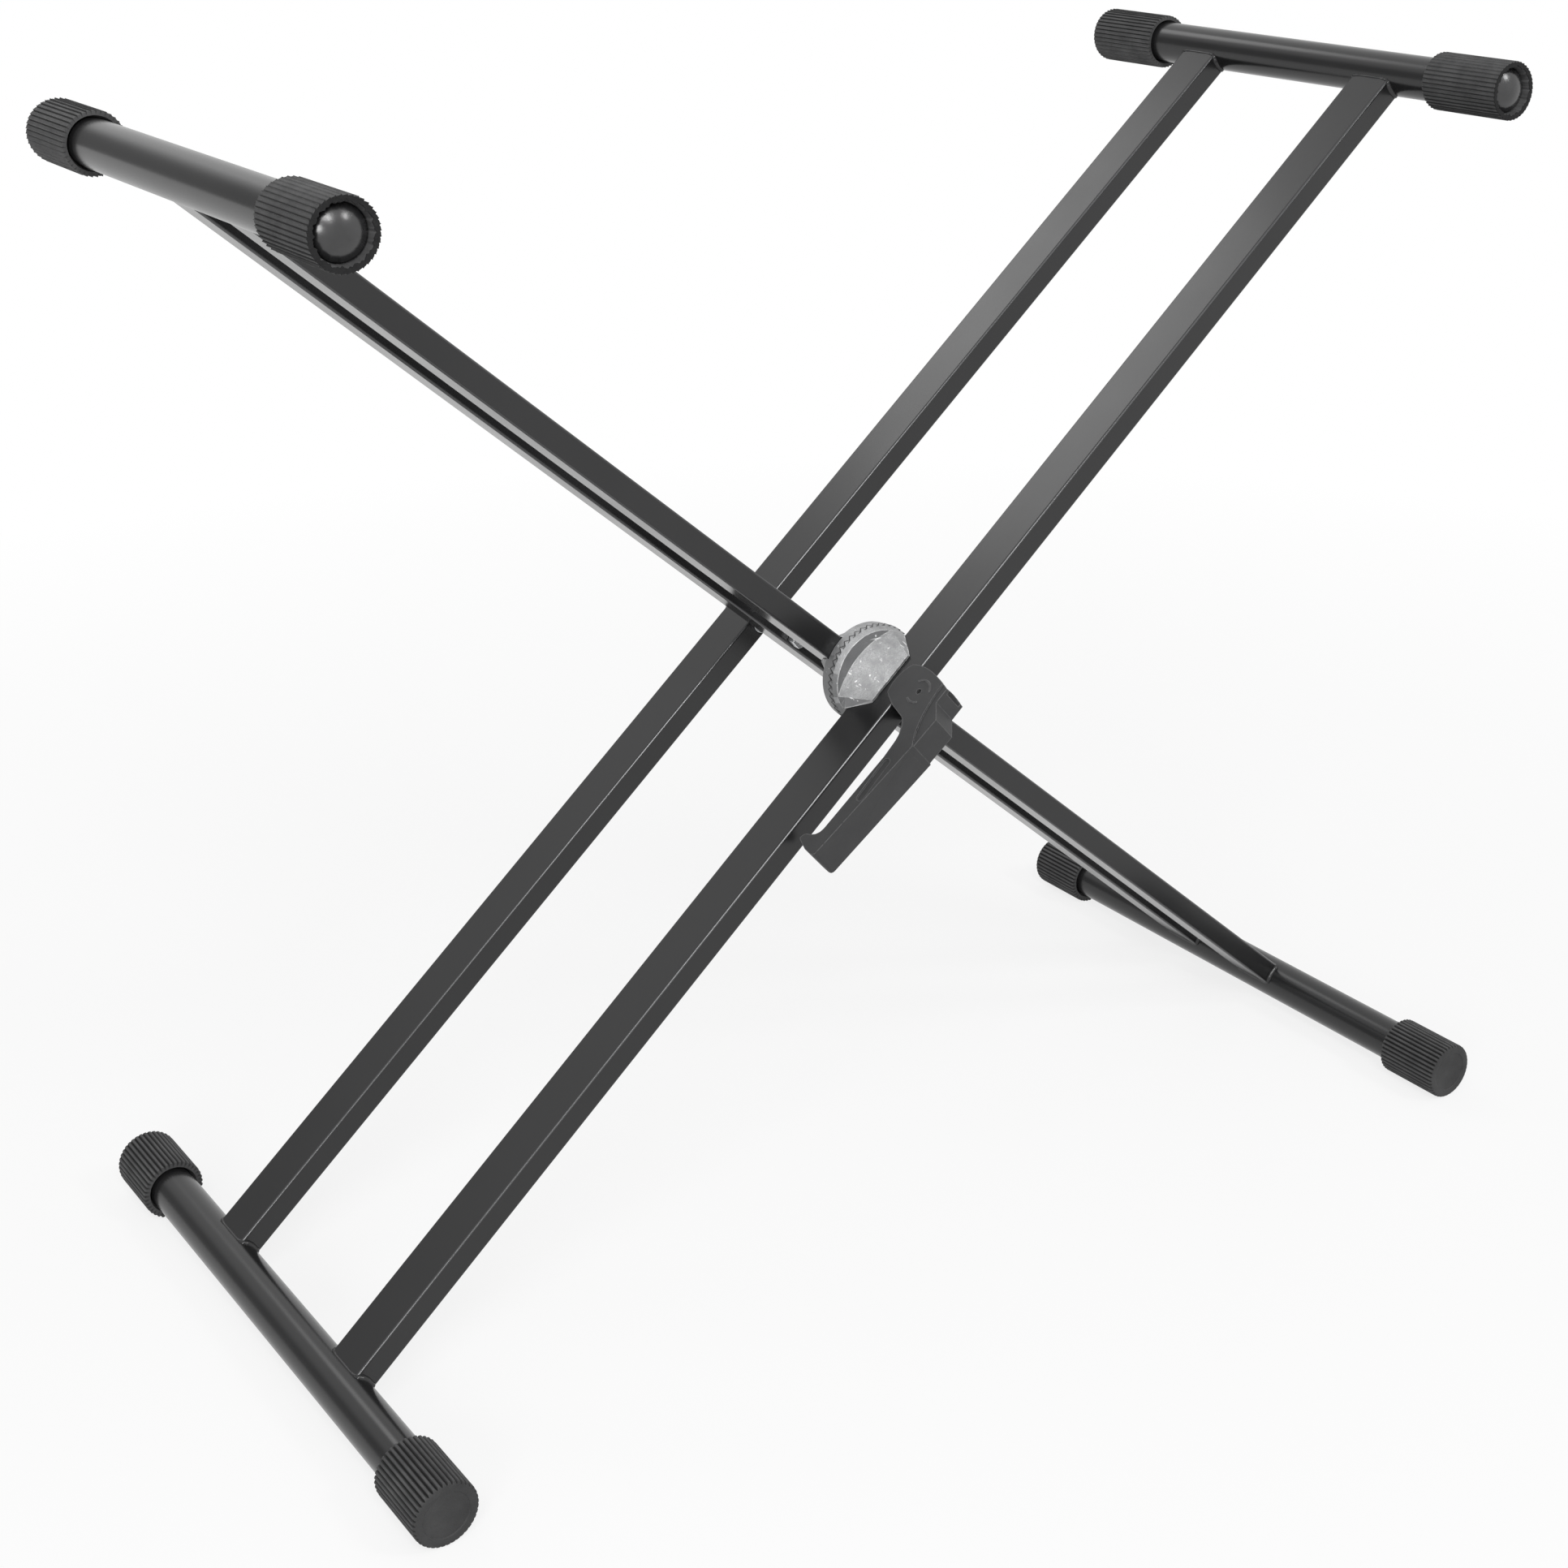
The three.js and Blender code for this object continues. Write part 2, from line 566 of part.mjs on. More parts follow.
/** How far the handle's straight front stands out, at a distance from the pin. */
function handleFront(distance) {
  const share = (distance - HANDLE_ROOT) / (HANDLE_REACH - HANDLE_ROOT);
  return HANDLE_ROOT_FRONT + share * (HANDLE_TIP_FRONT - HANDLE_ROOT_FRONT);
}

/** One of the two cheeks beside the leg. */
function leverCheek() {
  const outline = new THREE.Shape();
  const foot = HANDLE_ROOT + 2;
  outline.moveTo(10.6, -12);
  outline.quadraticCurveTo(-15.3, -13, -HANDLE_ROOT + 4.7, -handleFront(HANDLE_ROOT) + 0.6);
  outline.lineTo(-foot, -handleFront(foot) + 0.6);
  outline.lineTo(-foot, -HANDLE_ROOT_BACK - 0.2);
  outline.quadraticCurveTo(-19.5, -9.4, -17.3, 0.7);
  outline.lineTo(-14, 11.8);
  outline.lineTo(-10.9, 17.8);
  outline.absarc(0, 0, HUB_RADIUS, 112 * DEG, 55 * DEG, true);
  outline.quadraticCurveTo(17.5, 7, 10.6, -12);
  return solid(extruded(outline, CHEEK_INNER, LEVER_HALF_WIDTH, 8));
}

/** The handle: it lies along the leg, clear of it by a finger's width, with a hooked tip. */
function leverHandle() {
  const start = HANDLE_ROOT - 4;
  // a point of the hook, in shares of its length from the tip and of its height over the handle's back
  const hook = (along, up) => [-HANDLE_REACH + along * HOOK_LENGTH, -HOOK_NECK + up * HOOK_HEIGHT];
  const outline = new THREE.Shape();
  outline.moveTo(-start, -handleFront(start));
  outline.lineTo(...hook(0.145, (HOOK_NECK - HANDLE_TIP_FRONT) / HOOK_HEIGHT));
  outline.quadraticCurveTo(...hook(0, -0.58), ...hook(0.01, -0.32));
  outline.lineTo(...hook(0.05, 0.14));
  outline.lineTo(...hook(0.24, 0.83));
  outline.quadraticCurveTo(...hook(0.3, 1), ...hook(0.42, 0.915));
  outline.lineTo(...hook(0.54, 0.78));
  outline.quadraticCurveTo(...hook(0.615, 0.05), ...hook(1, 0));
  outline.lineTo(-HANDLE_ROOT - 10, -HANDLE_ROOT_BACK - 0.6);
  outline.lineTo(-start, -HANDLE_ROOT_BACK + 0.4);
  return solid(extruded(outline, -LEVER_HALF_WIDTH, LEVER_HALF_WIDTH, 4));
}

/** The shallow slot in each side of the handle. */
function handleRecess() {
  const straight = RECESS_LENGTH / 2 - RECESS_HALF_WIDTH;
  const middle = -(handleFront(RECESS_MIDDLE) + HANDLE_ROOT_BACK) / 2;
  const outline = new THREE.Shape();
  outline.absarc(straight, 0, RECESS_HALF_WIDTH, -Math.PI / 2, Math.PI / 2);
  outline.absarc(-straight, 0, RECESS_HALF_WIDTH, Math.PI / 2, 1.5 * Math.PI);
  const slot = extruded(outline, LEVER_HALF_WIDTH - RECESS_DEPTH, LEVER_HALF_WIDTH + 1, 4);
  return solid(slot).rotate([0, 0, 3]).translate([-RECESS_MIDDLE, middle, 0]);
}

/** A raised arc on the near cheek, round the pin's end. */
function cheekMark(from, to) {
  const outline = new THREE.Shape();
  outline.absarc(0, 0, MARK_RADIUS + MARK_WIDTH / 2, from * DEG, to * DEG);
  outline.absarc(0, 0, MARK_RADIUS - MARK_WIDTH / 2, to * DEG, from * DEG, true);
  return solid(extruded(outline, LEVER_HALF_WIDTH - 0.5, LEVER_HALF_WIDTH + MARK_HEIGHT, 5));
}

function releaseLever() {
  const cheek = leverCheek();
  const recess = handleRecess();
  let lever = leverBody().add(leverHandle()).add(cheek).add(cheek.mirror([0, 0, 1]));
  lever = lever.add(cheekMark(-73, 45)).add(cheekMark(145, 215));
  lever = lever.subtract(recess).subtract(recess.mirror([0, 0, 1]));
  const past = 2 * LEVER_HALF_WIDTH;
  lever = lever.subtract(crossRod(PIN_RADIUS + SEAT_GAP, -past, PIN_NEAR_END + SEAT_GAP, 24));
  lever = lever.subtract(crossRod(PIN_EYELET, 0, past, 16));
  // room for the bolt's eye, and for its shank as the lever swings
  const slotHalf = EYE_HALF_WIDTH + SEAT_GAP + 0.2;
  lever = lever.subtract(crossRod(EYE_RADIUS + 0.8, -slotHalf, slotHalf, 32));
  const shankHalf = BOLT_RADIUS + 0.6;
  for (const turn of [0, LEVER_SWING / 3, (2 * LEVER_SWING) / 3, LEVER_SWING]) {
    const way = box(-shankHalf, shankHalf, 0, 2 * PIN_STANDOFF, -slotHalf, slotHalf);
    lever = lever.subtract(way.rotate([0, 0, -turn / DEG]));
  }
  const [notchFloor, notchHalf] = END_NOTCH;
  return lever.subtract(box(notchFloor, HUB_RADIUS, -HUB_RADIUS, 0, -notchHalf, notchHalf));
}

// ---------- assembly ----------
const stand = new THREE.Group();
const pivot = new THREE.Group();
pivot.position.set(PIVOT_X, 0, PIVOT_HEIGHT);
stand.add(pivot);

/** A welded frame: two legs and two bars, with the rubber on the bars' ends. */
function addFrame(name, angle, side, upper, lower, legSpots) {
  const legs = new THREE.Group(); // X runs up the legs
  legs.rotation.y = side > 0 ? -angle : angle - Math.PI;
  pivot.add(legs);
  for (const [place, y, boltRadius] of legSpots) {
    legs.add(piece(`${name}_leg_${place}`, leg(y, upper, lower, boltRadius), paint));
  }
  const along = (distance) => [side * distance * Math.cos(angle), distance * Math.sin(angle)];
  const [topX, topZ] = along(upper);
  const [bottomX, bottomZ] = along(-lower);
  const topTube = TOP_REACH - PLUG_RECESS;
  const topBar = piece(`${name}_top_bar`, bar(topTube), paint);
  topBar.position.set(topX, 0, topZ);
  const bottomBar = piece(`${name}_bottom_bar`, bar(BOTTOM_REACH - FOOT_END_WALL - SEAT_GAP), paint);
  bottomBar.position.set(bottomX, 0, bottomZ);
  pivot.add(topBar, bottomBar);
  for (const [place, end] of [["front", -1], ["rear", 1]]) {
    const turn = end > 0 ? 0 : Math.PI;
    const fittings = [
      [`${name}_sleeve_${place}`, sleeve(), rubber, topX, end * TOP_REACH, topZ],
      [`${name}_plug_${place}`, plug(), plugPlastic, topX, end * topTube, topZ],
      [`${name}_foot_${place}`, footCap(), rubber, bottomX, end * BOTTOM_REACH, bottomZ],
    ];
    for (const [label, form, material, x, y, z] of fittings) {
      const mesh = piece(label, form, material);
      mesh.position.set(x, y, z);
      mesh.rotation.z = turn;
      pivot.add(mesh);
    }
  }
  return legs;
}

const outerLegs = addFrame("outer", OUTER_ANGLE, 1, OUTER_UPPER, OUTER_LOWER, [
  ["front", outerFrontY, BOLT_RADIUS],
  ["rear", outerRearY, REAR_BOLT_RADIUS],
]);
const innerLegs = addFrame("inner", INNER_ANGLE, -1, INNER_UPPER, INNER_LOWER, [
  ["front", innerFrontY, BOLT_RADIUS],
  ["rear", innerRearY, REAR_BOLT_RADIUS],
]);

// front pivot: the clutch between the two front legs
const outerStandoff = teethY - (outerFrontY + LEG_WIDTH / 2);
const innerStandoff = innerFrontY - LEG_WIDTH / 2 - teethY;
const outerForm = clutchCasting(OUTER_RIM_DEPTH, OUTER_RIM_RADIUS, outerStandoff);
const outerCasting = piece("clutch_outer", outerForm, zinc);
outerCasting.position.y = teethY;
outerLegs.add(outerCasting);
const innerForm = clutchCasting(INNER_RIM_DEPTH, INNER_RIM_RADIUS, innerStandoff);
const innerCasting = piece("clutch_inner", innerForm, zinc);
innerCasting.position.y = teethY;
innerCasting.rotation.x = Math.PI;
innerLegs.add(innerCasting);
const spring = piece("clutch_spring", clutchSpring(), plated);
spring.position.y = teethY;
outerLegs.add(spring);

// the draw bolt, its pin and the lever, at the pin
const leverGroup = new THREE.Group();
leverGroup.position.y = pinY;
outerLegs.add(leverGroup);
leverGroup.add(piece("draw_bolt", drawBolt(), plated));
leverGroup.add(piece("lever_pin", leverPin(), plated));
leverGroup.add(piece("release_lever", releaseLever(), leverPlastic));

// the plate that the cam bears on, and the nut and washer behind the inner front leg
const boltHole = BOLT_RADIUS + SEAT_GAP;
const [plateX, plateZ] = [THRUST_PLATE_LENGTH / 2, LEG_THICKNESS / 2 - 0.2];
const plateBack = outerFrontFace - SEAT_GAP;
const plateBlank = box(-plateX, plateX, plateBack - THRUST_PLATE, plateBack, -plateZ, plateZ);
const plateHole = rod(boltHole, plateBack - 2 * THRUST_PLATE, plateBack + THRUST_PLATE, 24);
outerLegs.add(piece("thrust_plate", plateBlank.subtract(plateHole), plated));
const innerBack = innerFrontY + LEG_WIDTH / 2 + SEAT_GAP;
const frontWasher = washer(DRAW_WASHER_RADIUS, boltHole, innerBack, innerBack + WASHER);
innerLegs.add(piece("draw_washer", frontWasher, plated));
const nutFace = innerBack + WASHER + SEAT_GAP;
const drawNut = hexagon(DRAW_NUT_FLAT, nutFace, nutFace + DRAW_NUT_HEIGHT, boltHole);
outerLegs.add(piece("draw_nut", drawNut, plated));

// rear pivot: a bolt through both rear legs, its nut on the inner leg's front face
const nutBack = innerRearY - LEG_WIDTH / 2 - SEAT_GAP;
const headFace = outerRearY + LEG_WIDTH / 2 + SEAT_GAP;
const rearHole = REAR_BOLT_RADIUS + SEAT_GAP;
const rearNut = hexagon(REAR_NUT_FLAT, nutBack - REAR_NUT_HEIGHT, nutBack, rearHole);
outerLegs.add(piece("rear_nut", rearNut, plated));
const rearHead = rod(REAR_NUT_FLAT / Math.sqrt(3), headFace, headFace + REAR_HEAD_HEIGHT, 6);
const rearShank = rod(REAR_BOLT_RADIUS, nutBack - REAR_NUT_HEIGHT - 2, headFace + 1, 24);
outerLegs.add(piece("rear_bolt", rearHead.add(rearShank), plated));
const outerInside = outerRearY - LEG_WIDTH / 2 - SEAT_GAP;
const rearWasher = washer(REAR_WASHER_RADIUS, rearHole, outerInside - WASHER, outerInside);
outerLegs.add(piece("rear_washer", rearWasher, plated));

export default stand;
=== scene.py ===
import json
import math

import bmesh
import bpy
from mathutils import Matrix, Vector

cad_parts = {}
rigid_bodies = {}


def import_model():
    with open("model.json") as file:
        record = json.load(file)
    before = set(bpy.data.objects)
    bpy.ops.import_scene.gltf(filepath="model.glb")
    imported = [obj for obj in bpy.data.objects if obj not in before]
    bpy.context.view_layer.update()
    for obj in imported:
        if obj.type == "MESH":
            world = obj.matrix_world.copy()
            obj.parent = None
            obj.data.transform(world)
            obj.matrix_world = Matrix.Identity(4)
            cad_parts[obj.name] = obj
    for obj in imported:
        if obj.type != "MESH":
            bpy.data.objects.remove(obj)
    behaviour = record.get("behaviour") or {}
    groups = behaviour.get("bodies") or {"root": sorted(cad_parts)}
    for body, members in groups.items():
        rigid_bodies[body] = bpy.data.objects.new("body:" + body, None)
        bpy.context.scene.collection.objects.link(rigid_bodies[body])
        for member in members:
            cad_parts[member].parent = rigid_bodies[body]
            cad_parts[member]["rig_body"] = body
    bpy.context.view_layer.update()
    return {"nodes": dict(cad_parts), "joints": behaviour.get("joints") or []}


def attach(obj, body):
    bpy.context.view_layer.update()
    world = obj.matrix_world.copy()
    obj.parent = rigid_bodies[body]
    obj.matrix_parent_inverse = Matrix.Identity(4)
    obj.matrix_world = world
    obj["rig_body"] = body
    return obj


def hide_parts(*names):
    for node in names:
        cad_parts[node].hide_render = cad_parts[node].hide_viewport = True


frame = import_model()
joints = {joint["name"]: joint for joint in frame["joints"]}
pivotPoint = Vector(joints["fold"]["pos_m"])
leverAxis = Vector(joints["lever_turn"]["axis"])
crossing = math.radians(81.62)  # between the two frames' legs
outerAngle = math.atan2(-leverAxis.x, leverAxis.z)  # outer legs to the floor
innerAngle = crossing - outerAngle
print("frame loaded:", len(frame["nodes"]), "nodes")

mm = 0.001  # pieces are modelled in millimetres
mmScale = Matrix.Scale(mm, 4)
outerLegs = Matrix.Translation(pivotPoint) @ Matrix.Rotation(-outerAngle, 4, "Y")
innerLegs = Matrix.Translation(pivotPoint) @ Matrix.Rotation(innerAngle - math.pi, 4, "Y")

# seen from the front left, a little above the pivot
cameraSetup = {
    "place": (-0.82076, -1.17693, 0.53538),  # from the pivot
    "looking": (0.5585, 0.7669, -0.3163),
    "sensor": 36,
    "lens": 57.44,
    "shift": (-0.0539, -0.1429),
    "nearest": 0.01,
}


def addCamera():
    camera = bpy.data.cameras.new("camera")
    camera.sensor_width = cameraSetup["sensor"]
    camera.lens = cameraSetup["lens"]
    camera.shift_x, camera.shift_y = cameraSetup["shift"]
    camera.clip_start = cameraSetup["nearest"]
    obj = bpy.data.objects.new("camera", camera)
    obj.location = pivotPoint + Vector(cameraSetup["place"])
    obj.rotation_euler = Vector(cameraSetup["looking"]).to_track_quat("-Z", "Y").to_euler()
    bpy.context.scene.collection.objects.link(obj)
    bpy.context.scene.camera = obj


addCamera()
print("camera set")


def newGroup(name, inputs, outputs):
    group = bpy.data.node_groups.new(name, "ShaderNodeTree")
    for label, value in inputs:
        socket = group.interface.new_socket(label, in_out="INPUT", socket_type="NodeSocketFloat")
        socket.default_value = value
    for label in outputs:
        group.interface.new_socket(label, in_out="OUTPUT", socket_type="NodeSocketFloat")
    given = group.nodes.new("NodeGroupInput").outputs
    return group, given, group.nodes.new("NodeGroupOutput").inputs


def addNode(tree, kind, values=None, **settings):
    node = tree.nodes.new(kind)
    for key, value in settings.items():
        setattr(node, key, value)
    for key, value in (values or {}).items():
        node.inputs[key].default_value = value
    return node


def setInput(tree, socket, value):
    if isinstance(value, bpy.types.NodeSocket):
        tree.links.new(value, socket)
    elif value is not None:
        socket.default_value = value


def mathNode(tree, operation, a, b=None, clamp=False):
    node = addNode(tree, "ShaderNodeMath", operation=operation, use_clamp=clamp)
    setInput(tree, node.inputs[0], a)
    setInput(tree, node.inputs[1], b)
    return node.outputs[0]


def remap(tree, value, low, high, toLow=0.0, toHigh=1.0):
    node = addNode(tree, "ShaderNodeMapRange", {1: low, 2: high, 3: toLow, 4: toHigh})
    tree.links.new(value, node.inputs[0])
    return node.outputs[0]


def mixColour(tree, factor, a, b):
    node = addNode(tree, "ShaderNodeMix", data_type="RGBA")
    setInput(tree, node.inputs[0], factor)
    setInput(tree, node.inputs[6], a)
    setInput(tree, node.inputs[7], b)
    return node.outputs[2]


edgeSetup = {
    "samples": 4,
    "starts": 0.995,  # cosine of the turn that a rounded edge would give the surface
    "full": 0.86,
    "noise": {"Detail": 4.0, "Roughness": 0.6},
    "contrast": 8.0,
}


# 1 on an edge of about the given radius: the whole edge, and the worn patches of it; besides
#                                         wear they carry the lever's painted highlight and the
#                                         painted shade where the castings' teeth meet
def makeEdgeWearAndPaintedLight():
    inputs = [("Radius", 0.0008), ("Patch Scale", 400.0), ("Patch Share", 0.5)]
    group, given, out = newGroup("edgeWearAndPaintedLight", inputs, ["Edge", "Mask"])
    links = group.links.new
    coords = addNode(group, "ShaderNodeTexCoord").outputs["Object"]
    rounded = addNode(group, "ShaderNodeBevel", samples=edgeSetup["samples"])
    links(given["Radius"], rounded.inputs["Radius"])
    geometry = addNode(group, "ShaderNodeNewGeometry")
    dot = addNode(group, "ShaderNodeVectorMath", operation="DOT_PRODUCT")
    links(rounded.outputs[0], dot.inputs[0])
    links(geometry.outputs["Normal"], dot.inputs[1])
    edge = remap(group, dot.outputs["Value"], edgeSetup["starts"], edgeSetup["full"])
    links(edge, out["Edge"])
    noise = addNode(group, "ShaderNodeTexNoise", edgeSetup["noise"])
    links(coords, noise.inputs["Vector"])
    links(given["Patch Scale"], noise.inputs["Scale"])
    patches = mathNode(group, "SUBTRACT", noise.outputs["Fac"], given["Patch Share"])
    patches = mathNode(group, "MULTIPLY", patches, edgeSetup["contrast"], clamp=True)
    links(mathNode(group, "MULTIPLY", edge, patches, clamp=True), out["Mask"])
    return group


grainSetup = {
    "cloud": {"Detail": 3.0, "Roughness": 0.55},
    "speck": {"Detail": 2.0, "Roughness": 0.7},
    "range": (0.3, 0.7),  # what the noise mostly spans, stretched to 0 and 1
}


# broad clouds and fine specks, each from 0 to 1, and a height for a bump
def makeSurfaceGrain():
    inputs = [("Cloud Scale", 30.0), ("Speck Scale", 1500.0)]
    group, given, out = newGroup("surfaceGrain", inputs, ["Cloud", "Speck", "Height"])
    links = group.links.new
    coords = addNode(group, "ShaderNodeTexCoord").outputs["Object"]
    cloud = addNode(group, "ShaderNodeTexNoise", grainSetup["cloud"])
    speck = addNode(group, "ShaderNodeTexNoise", grainSetup["speck"])
    for noise, scale in ((cloud, "Cloud Scale"), (speck, "Speck Scale")):
        links(coords, noise.inputs["Vector"])
        links(given[scale], noise.inputs["Scale"])
    speckValue = remap(group, speck.outputs["Fac"], *grainSetup["range"])
    links(remap(group, cloud.outputs["Fac"], *grainSetup["range"]), out["Cloud"])
    links(speckValue, out["Speck"])
    links(mathNode(group, "ADD", speckValue, cloud.outputs["Fac"]), out["Height"])
    return group


scratchSetup = {
    # each direction's turn and stretch
    "directions": (((0.3, 0.5, 0.4), (1, 9, 9)), ((0.9, 0.2, 1.7), (9, 1, 9))),
    "noise": {"Detail": 1.0, "Roughness": 0.5},
    "contrast": 20.0,
}


# short thin scratches in two directions, 1 on a scratch
def makeScratches():
    group, given, out = newGroup("scratches", [("Scale", 60.0), ("Share", 0.5)], ["Mask"])
    links = group.links.new
    coords = addNode(group, "ShaderNodeTexCoord").outputs["Object"]
    masks = []
    for turn, stretch in scratchSetup["directions"]:
        mapping = addNode(group, "ShaderNodeMapping", {"Rotation": turn, "Scale": stretch})
        links(coords, mapping.inputs["Vector"])
        noise = addNode(group, "ShaderNodeTexNoise", scratchSetup["noise"])
        links(mapping.outputs[0], noise.inputs["Vector"])
        links(given["Scale"], noise.inputs["Scale"])
        masks.append(mathNode(group, "SUBTRACT", noise.outputs["Fac"], given["Share"]))
    both = mathNode(group, "MAXIMUM", masks[0], masks[1])
    links(mathNode(group, "MULTIPLY", both, scratchSetup["contrast"], clamp=True), out["Mask"])
    return group


edgeWearAndPaintedLight = makeEdgeWearAndPaintedLight()
surfaceGrain = makeSurfaceGrain()
scratches = makeScratches()


def placeGroup(tree, group, values):
    node = tree.nodes.new("ShaderNodeGroup")
    node.node_tree = group
    for key, value in values.items():
        node.inputs[key].default_value = value
    return node.outputs


def placeGrain(tree, look):
    clouds, specks = look["grain"]
    return placeGroup(tree, surfaceGrain, {"Cloud Scale": clouds, "Speck Scale": specks})


def placeEdgeWearAndPaintedLight(tree, look):
    radius, scale, share = look["wear"]
    values = {"Radius": radius, "Patch Scale": scale, "Patch Share": share}
    return placeGroup(tree, edgeWearAndPaintedLight, values)


def readMarked(tree):
    return addNode(tree, "ShaderNodeAttribute", attribute_name="marked").outputs["Fac"]


def startMaterial(name, shaderValues):
    material = bpy.data.materials.new(name)
    material.use_nodes = True
    tree = material.node_tree
    shader = tree.nodes["Principled BSDF"]
    for key, value in shaderValues.items():
        shader.inputs[key].default_value = value
    return material, tree, shader


def addBump(tree, shader, height, strength, distance):
    bump = addNode(tree, "ShaderNodeBump", {"Strength": strength, "Distance": distance})
    tree.links.new(height, bump.inputs["Height"])
    tree.links.new(bump.outputs[0], shader.inputs["Normal"])


# moulded or painted dark surfaces: a clouded colour, fine grain and, where asked, worn edges,
# which on the lever also paint a highlight, and a second colour where the piece's own "marked"
# attribute says so: a painted highlight on the tubes' corners, painted shade in the rubber's
# grooves
def makeDarkFinish(name, look):
    material, tree, shader = startMaterial(name, {"Specular IOR Level": look["specular"]})
    grain = placeGrain(tree, look)
    colour = mixColour(tree, grain["Cloud"], look["base"], look["pale"])
    if "worn" in look:
        colour = mixColour(tree, placeEdgeWearAndPaintedLight(tree, look)["Mask"], colour, look["worn"])
    if "marked" in look:
        marked = readMarked(tree)
        colour = mixColour(tree, marked, colour, look["marked"])
        if "markedMetal" in look:
            metal = mathNode(tree, "MULTIPLY", marked, look["markedMetal"])
            tree.links.new(metal, shader.inputs["Metallic"])
    tree.links.new(colour, shader.inputs["Base Color"])
    rough = remap(tree, grain[look["roughBy"]], 0, 1, *look["roughness"])
    tree.links.new(rough, shader.inputs["Roughness"])
    addBump(tree, shader, grain["Height"], *look["bump"])
    return material


# grain is the scale of the clouds and of the specks; wear a radius, a patch scale and the share
# left unworn; bump a strength and a depth
paintLook = {
    "base": (0.01, 0.01, 0.0105, 1),
    "pale": (0.015, 0.015, 0.0155, 1),
    "marked": (0.09, 0.09, 0.092, 1),  # painted highlight along the tubes' corners
    "markedMetal": 0.8,
    "specular": 0.5,
    "grain": (9.0, 1100.0),
    "roughBy": "Cloud",
    "roughness": (0.2, 0.26),
    "bump": (0.006, 0.0003),  # the powder coat's faint orange peel
}
rubberLook = {
    "base": (0.05, 0.05, 0.051, 1),
    "pale": (0.092, 0.092, 0.093, 1),
    "worn": (0.105, 0.105, 0.106, 1),
    "wear": (0.0005, 300.0, 0.45),
    "marked": (0.006, 0.006, 0.006, 1),  # painted shade in the grooves between the ribs; the feet's end faces take part of this colour too
    "specular": 0.4,
    "grain": (70.0, 1800.0),
    "roughBy": "Speck",
    "roughness": (0.6, 0.75),
    "bump": (0.25, 0.0004),
}
shadedEndRubberLook = {  # painted shade: the sleeves' end faces are painted darker than their ribs
    "base": (0.012, 0.012, 0.0125, 1),
    "pale": (0.02, 0.02, 0.0205, 1),
    "specular": 0.25,
    "grain": (160.0, 1800.0),
    "roughBy": "Speck",
    "roughness": (0.75, 0.9),
    "bump": (0.4, 0.0005),
}
plugLook = {
    "base": (0.008, 0.008, 0.0085, 1),
    "pale": (0.022, 0.022, 0.023, 1),
    "specular": 0.85,
    "grain": (140.0, 1300.0),
    "roughBy": "Cloud",
    "roughness": (0.2, 0.28),
    "bump": (0.05, 0.0004),
}
leverLook = {
    "base": (0.034, 0.034, 0.035, 1),
    "pale": (0.043, 0.043, 0.044, 1),
    # pale edges: wear, and a painted highlight along the lever's rounded edges
    "worn": (0.16, 0.16, 0.161, 1),
    "wear": (0.0009, 500.0, 0.3),
    "specular": 0.45,
    "grain": (60.0, 2200.0),
    "roughBy": "Speck",
    "roughness": (0.5, 0.62),
    "bump": (0.2, 0.0003),
}
blackenedLook = {  # the lever's pin
    "base": (0.02, 0.02, 0.02, 1),
    "pale": (0.05, 0.05, 0.05, 1),
    "specular": 0.4,
    "grain": (300.0, 1500.0),
    "roughBy": "Speck",
    "roughness": (0.4, 0.55),
    "bump": (0.1, 0.0003),
}
framePaint = makeDarkFinish("framePaint", paintLook)
rubber = makeDarkFinish("rubber", rubberLook)
shadedEndRubber = makeDarkFinish("shadedEndRubber", shadedEndRubberLook)
plugGloss = makeDarkFinish("plugGloss", plugLook)
leverPlastic = makeDarkFinish("leverPlastic", leverLook)
blackenedSteel = makeDarkFinish("blackenedSteel", blackenedLook)

zincLook = {
    "base": (0.3, 0.303, 0.307, 1),
    "pale": (0.62, 0.624, 0.63, 1),
    "bright": (0.9, 0.9, 0.9, 1),
    "teethSeamShade": (0.02, 0.02, 0.02, 1),
    "facingShade": (0.17, 0.172, 0.175, 1),  # painted shade on faces that face the front or rear, downwards or left
    "facingShadeShare": 0.75,
    "metallic": 0.45,
    "grain": (150.0, 1400.0),
    "wear": (0.0008, 220.0, 0.4),
    "scratches": (42.0, 0.7),
    "roughness": (0.38, 0.56),
    "polish": -0.2,
    "bump": (0.35, 0.0004),
    "teethY": -0.0537,
    "teethReach": 0.0024,  # painted shade darkens the edges of the teeth this far from their plane, where the two castings meet
}


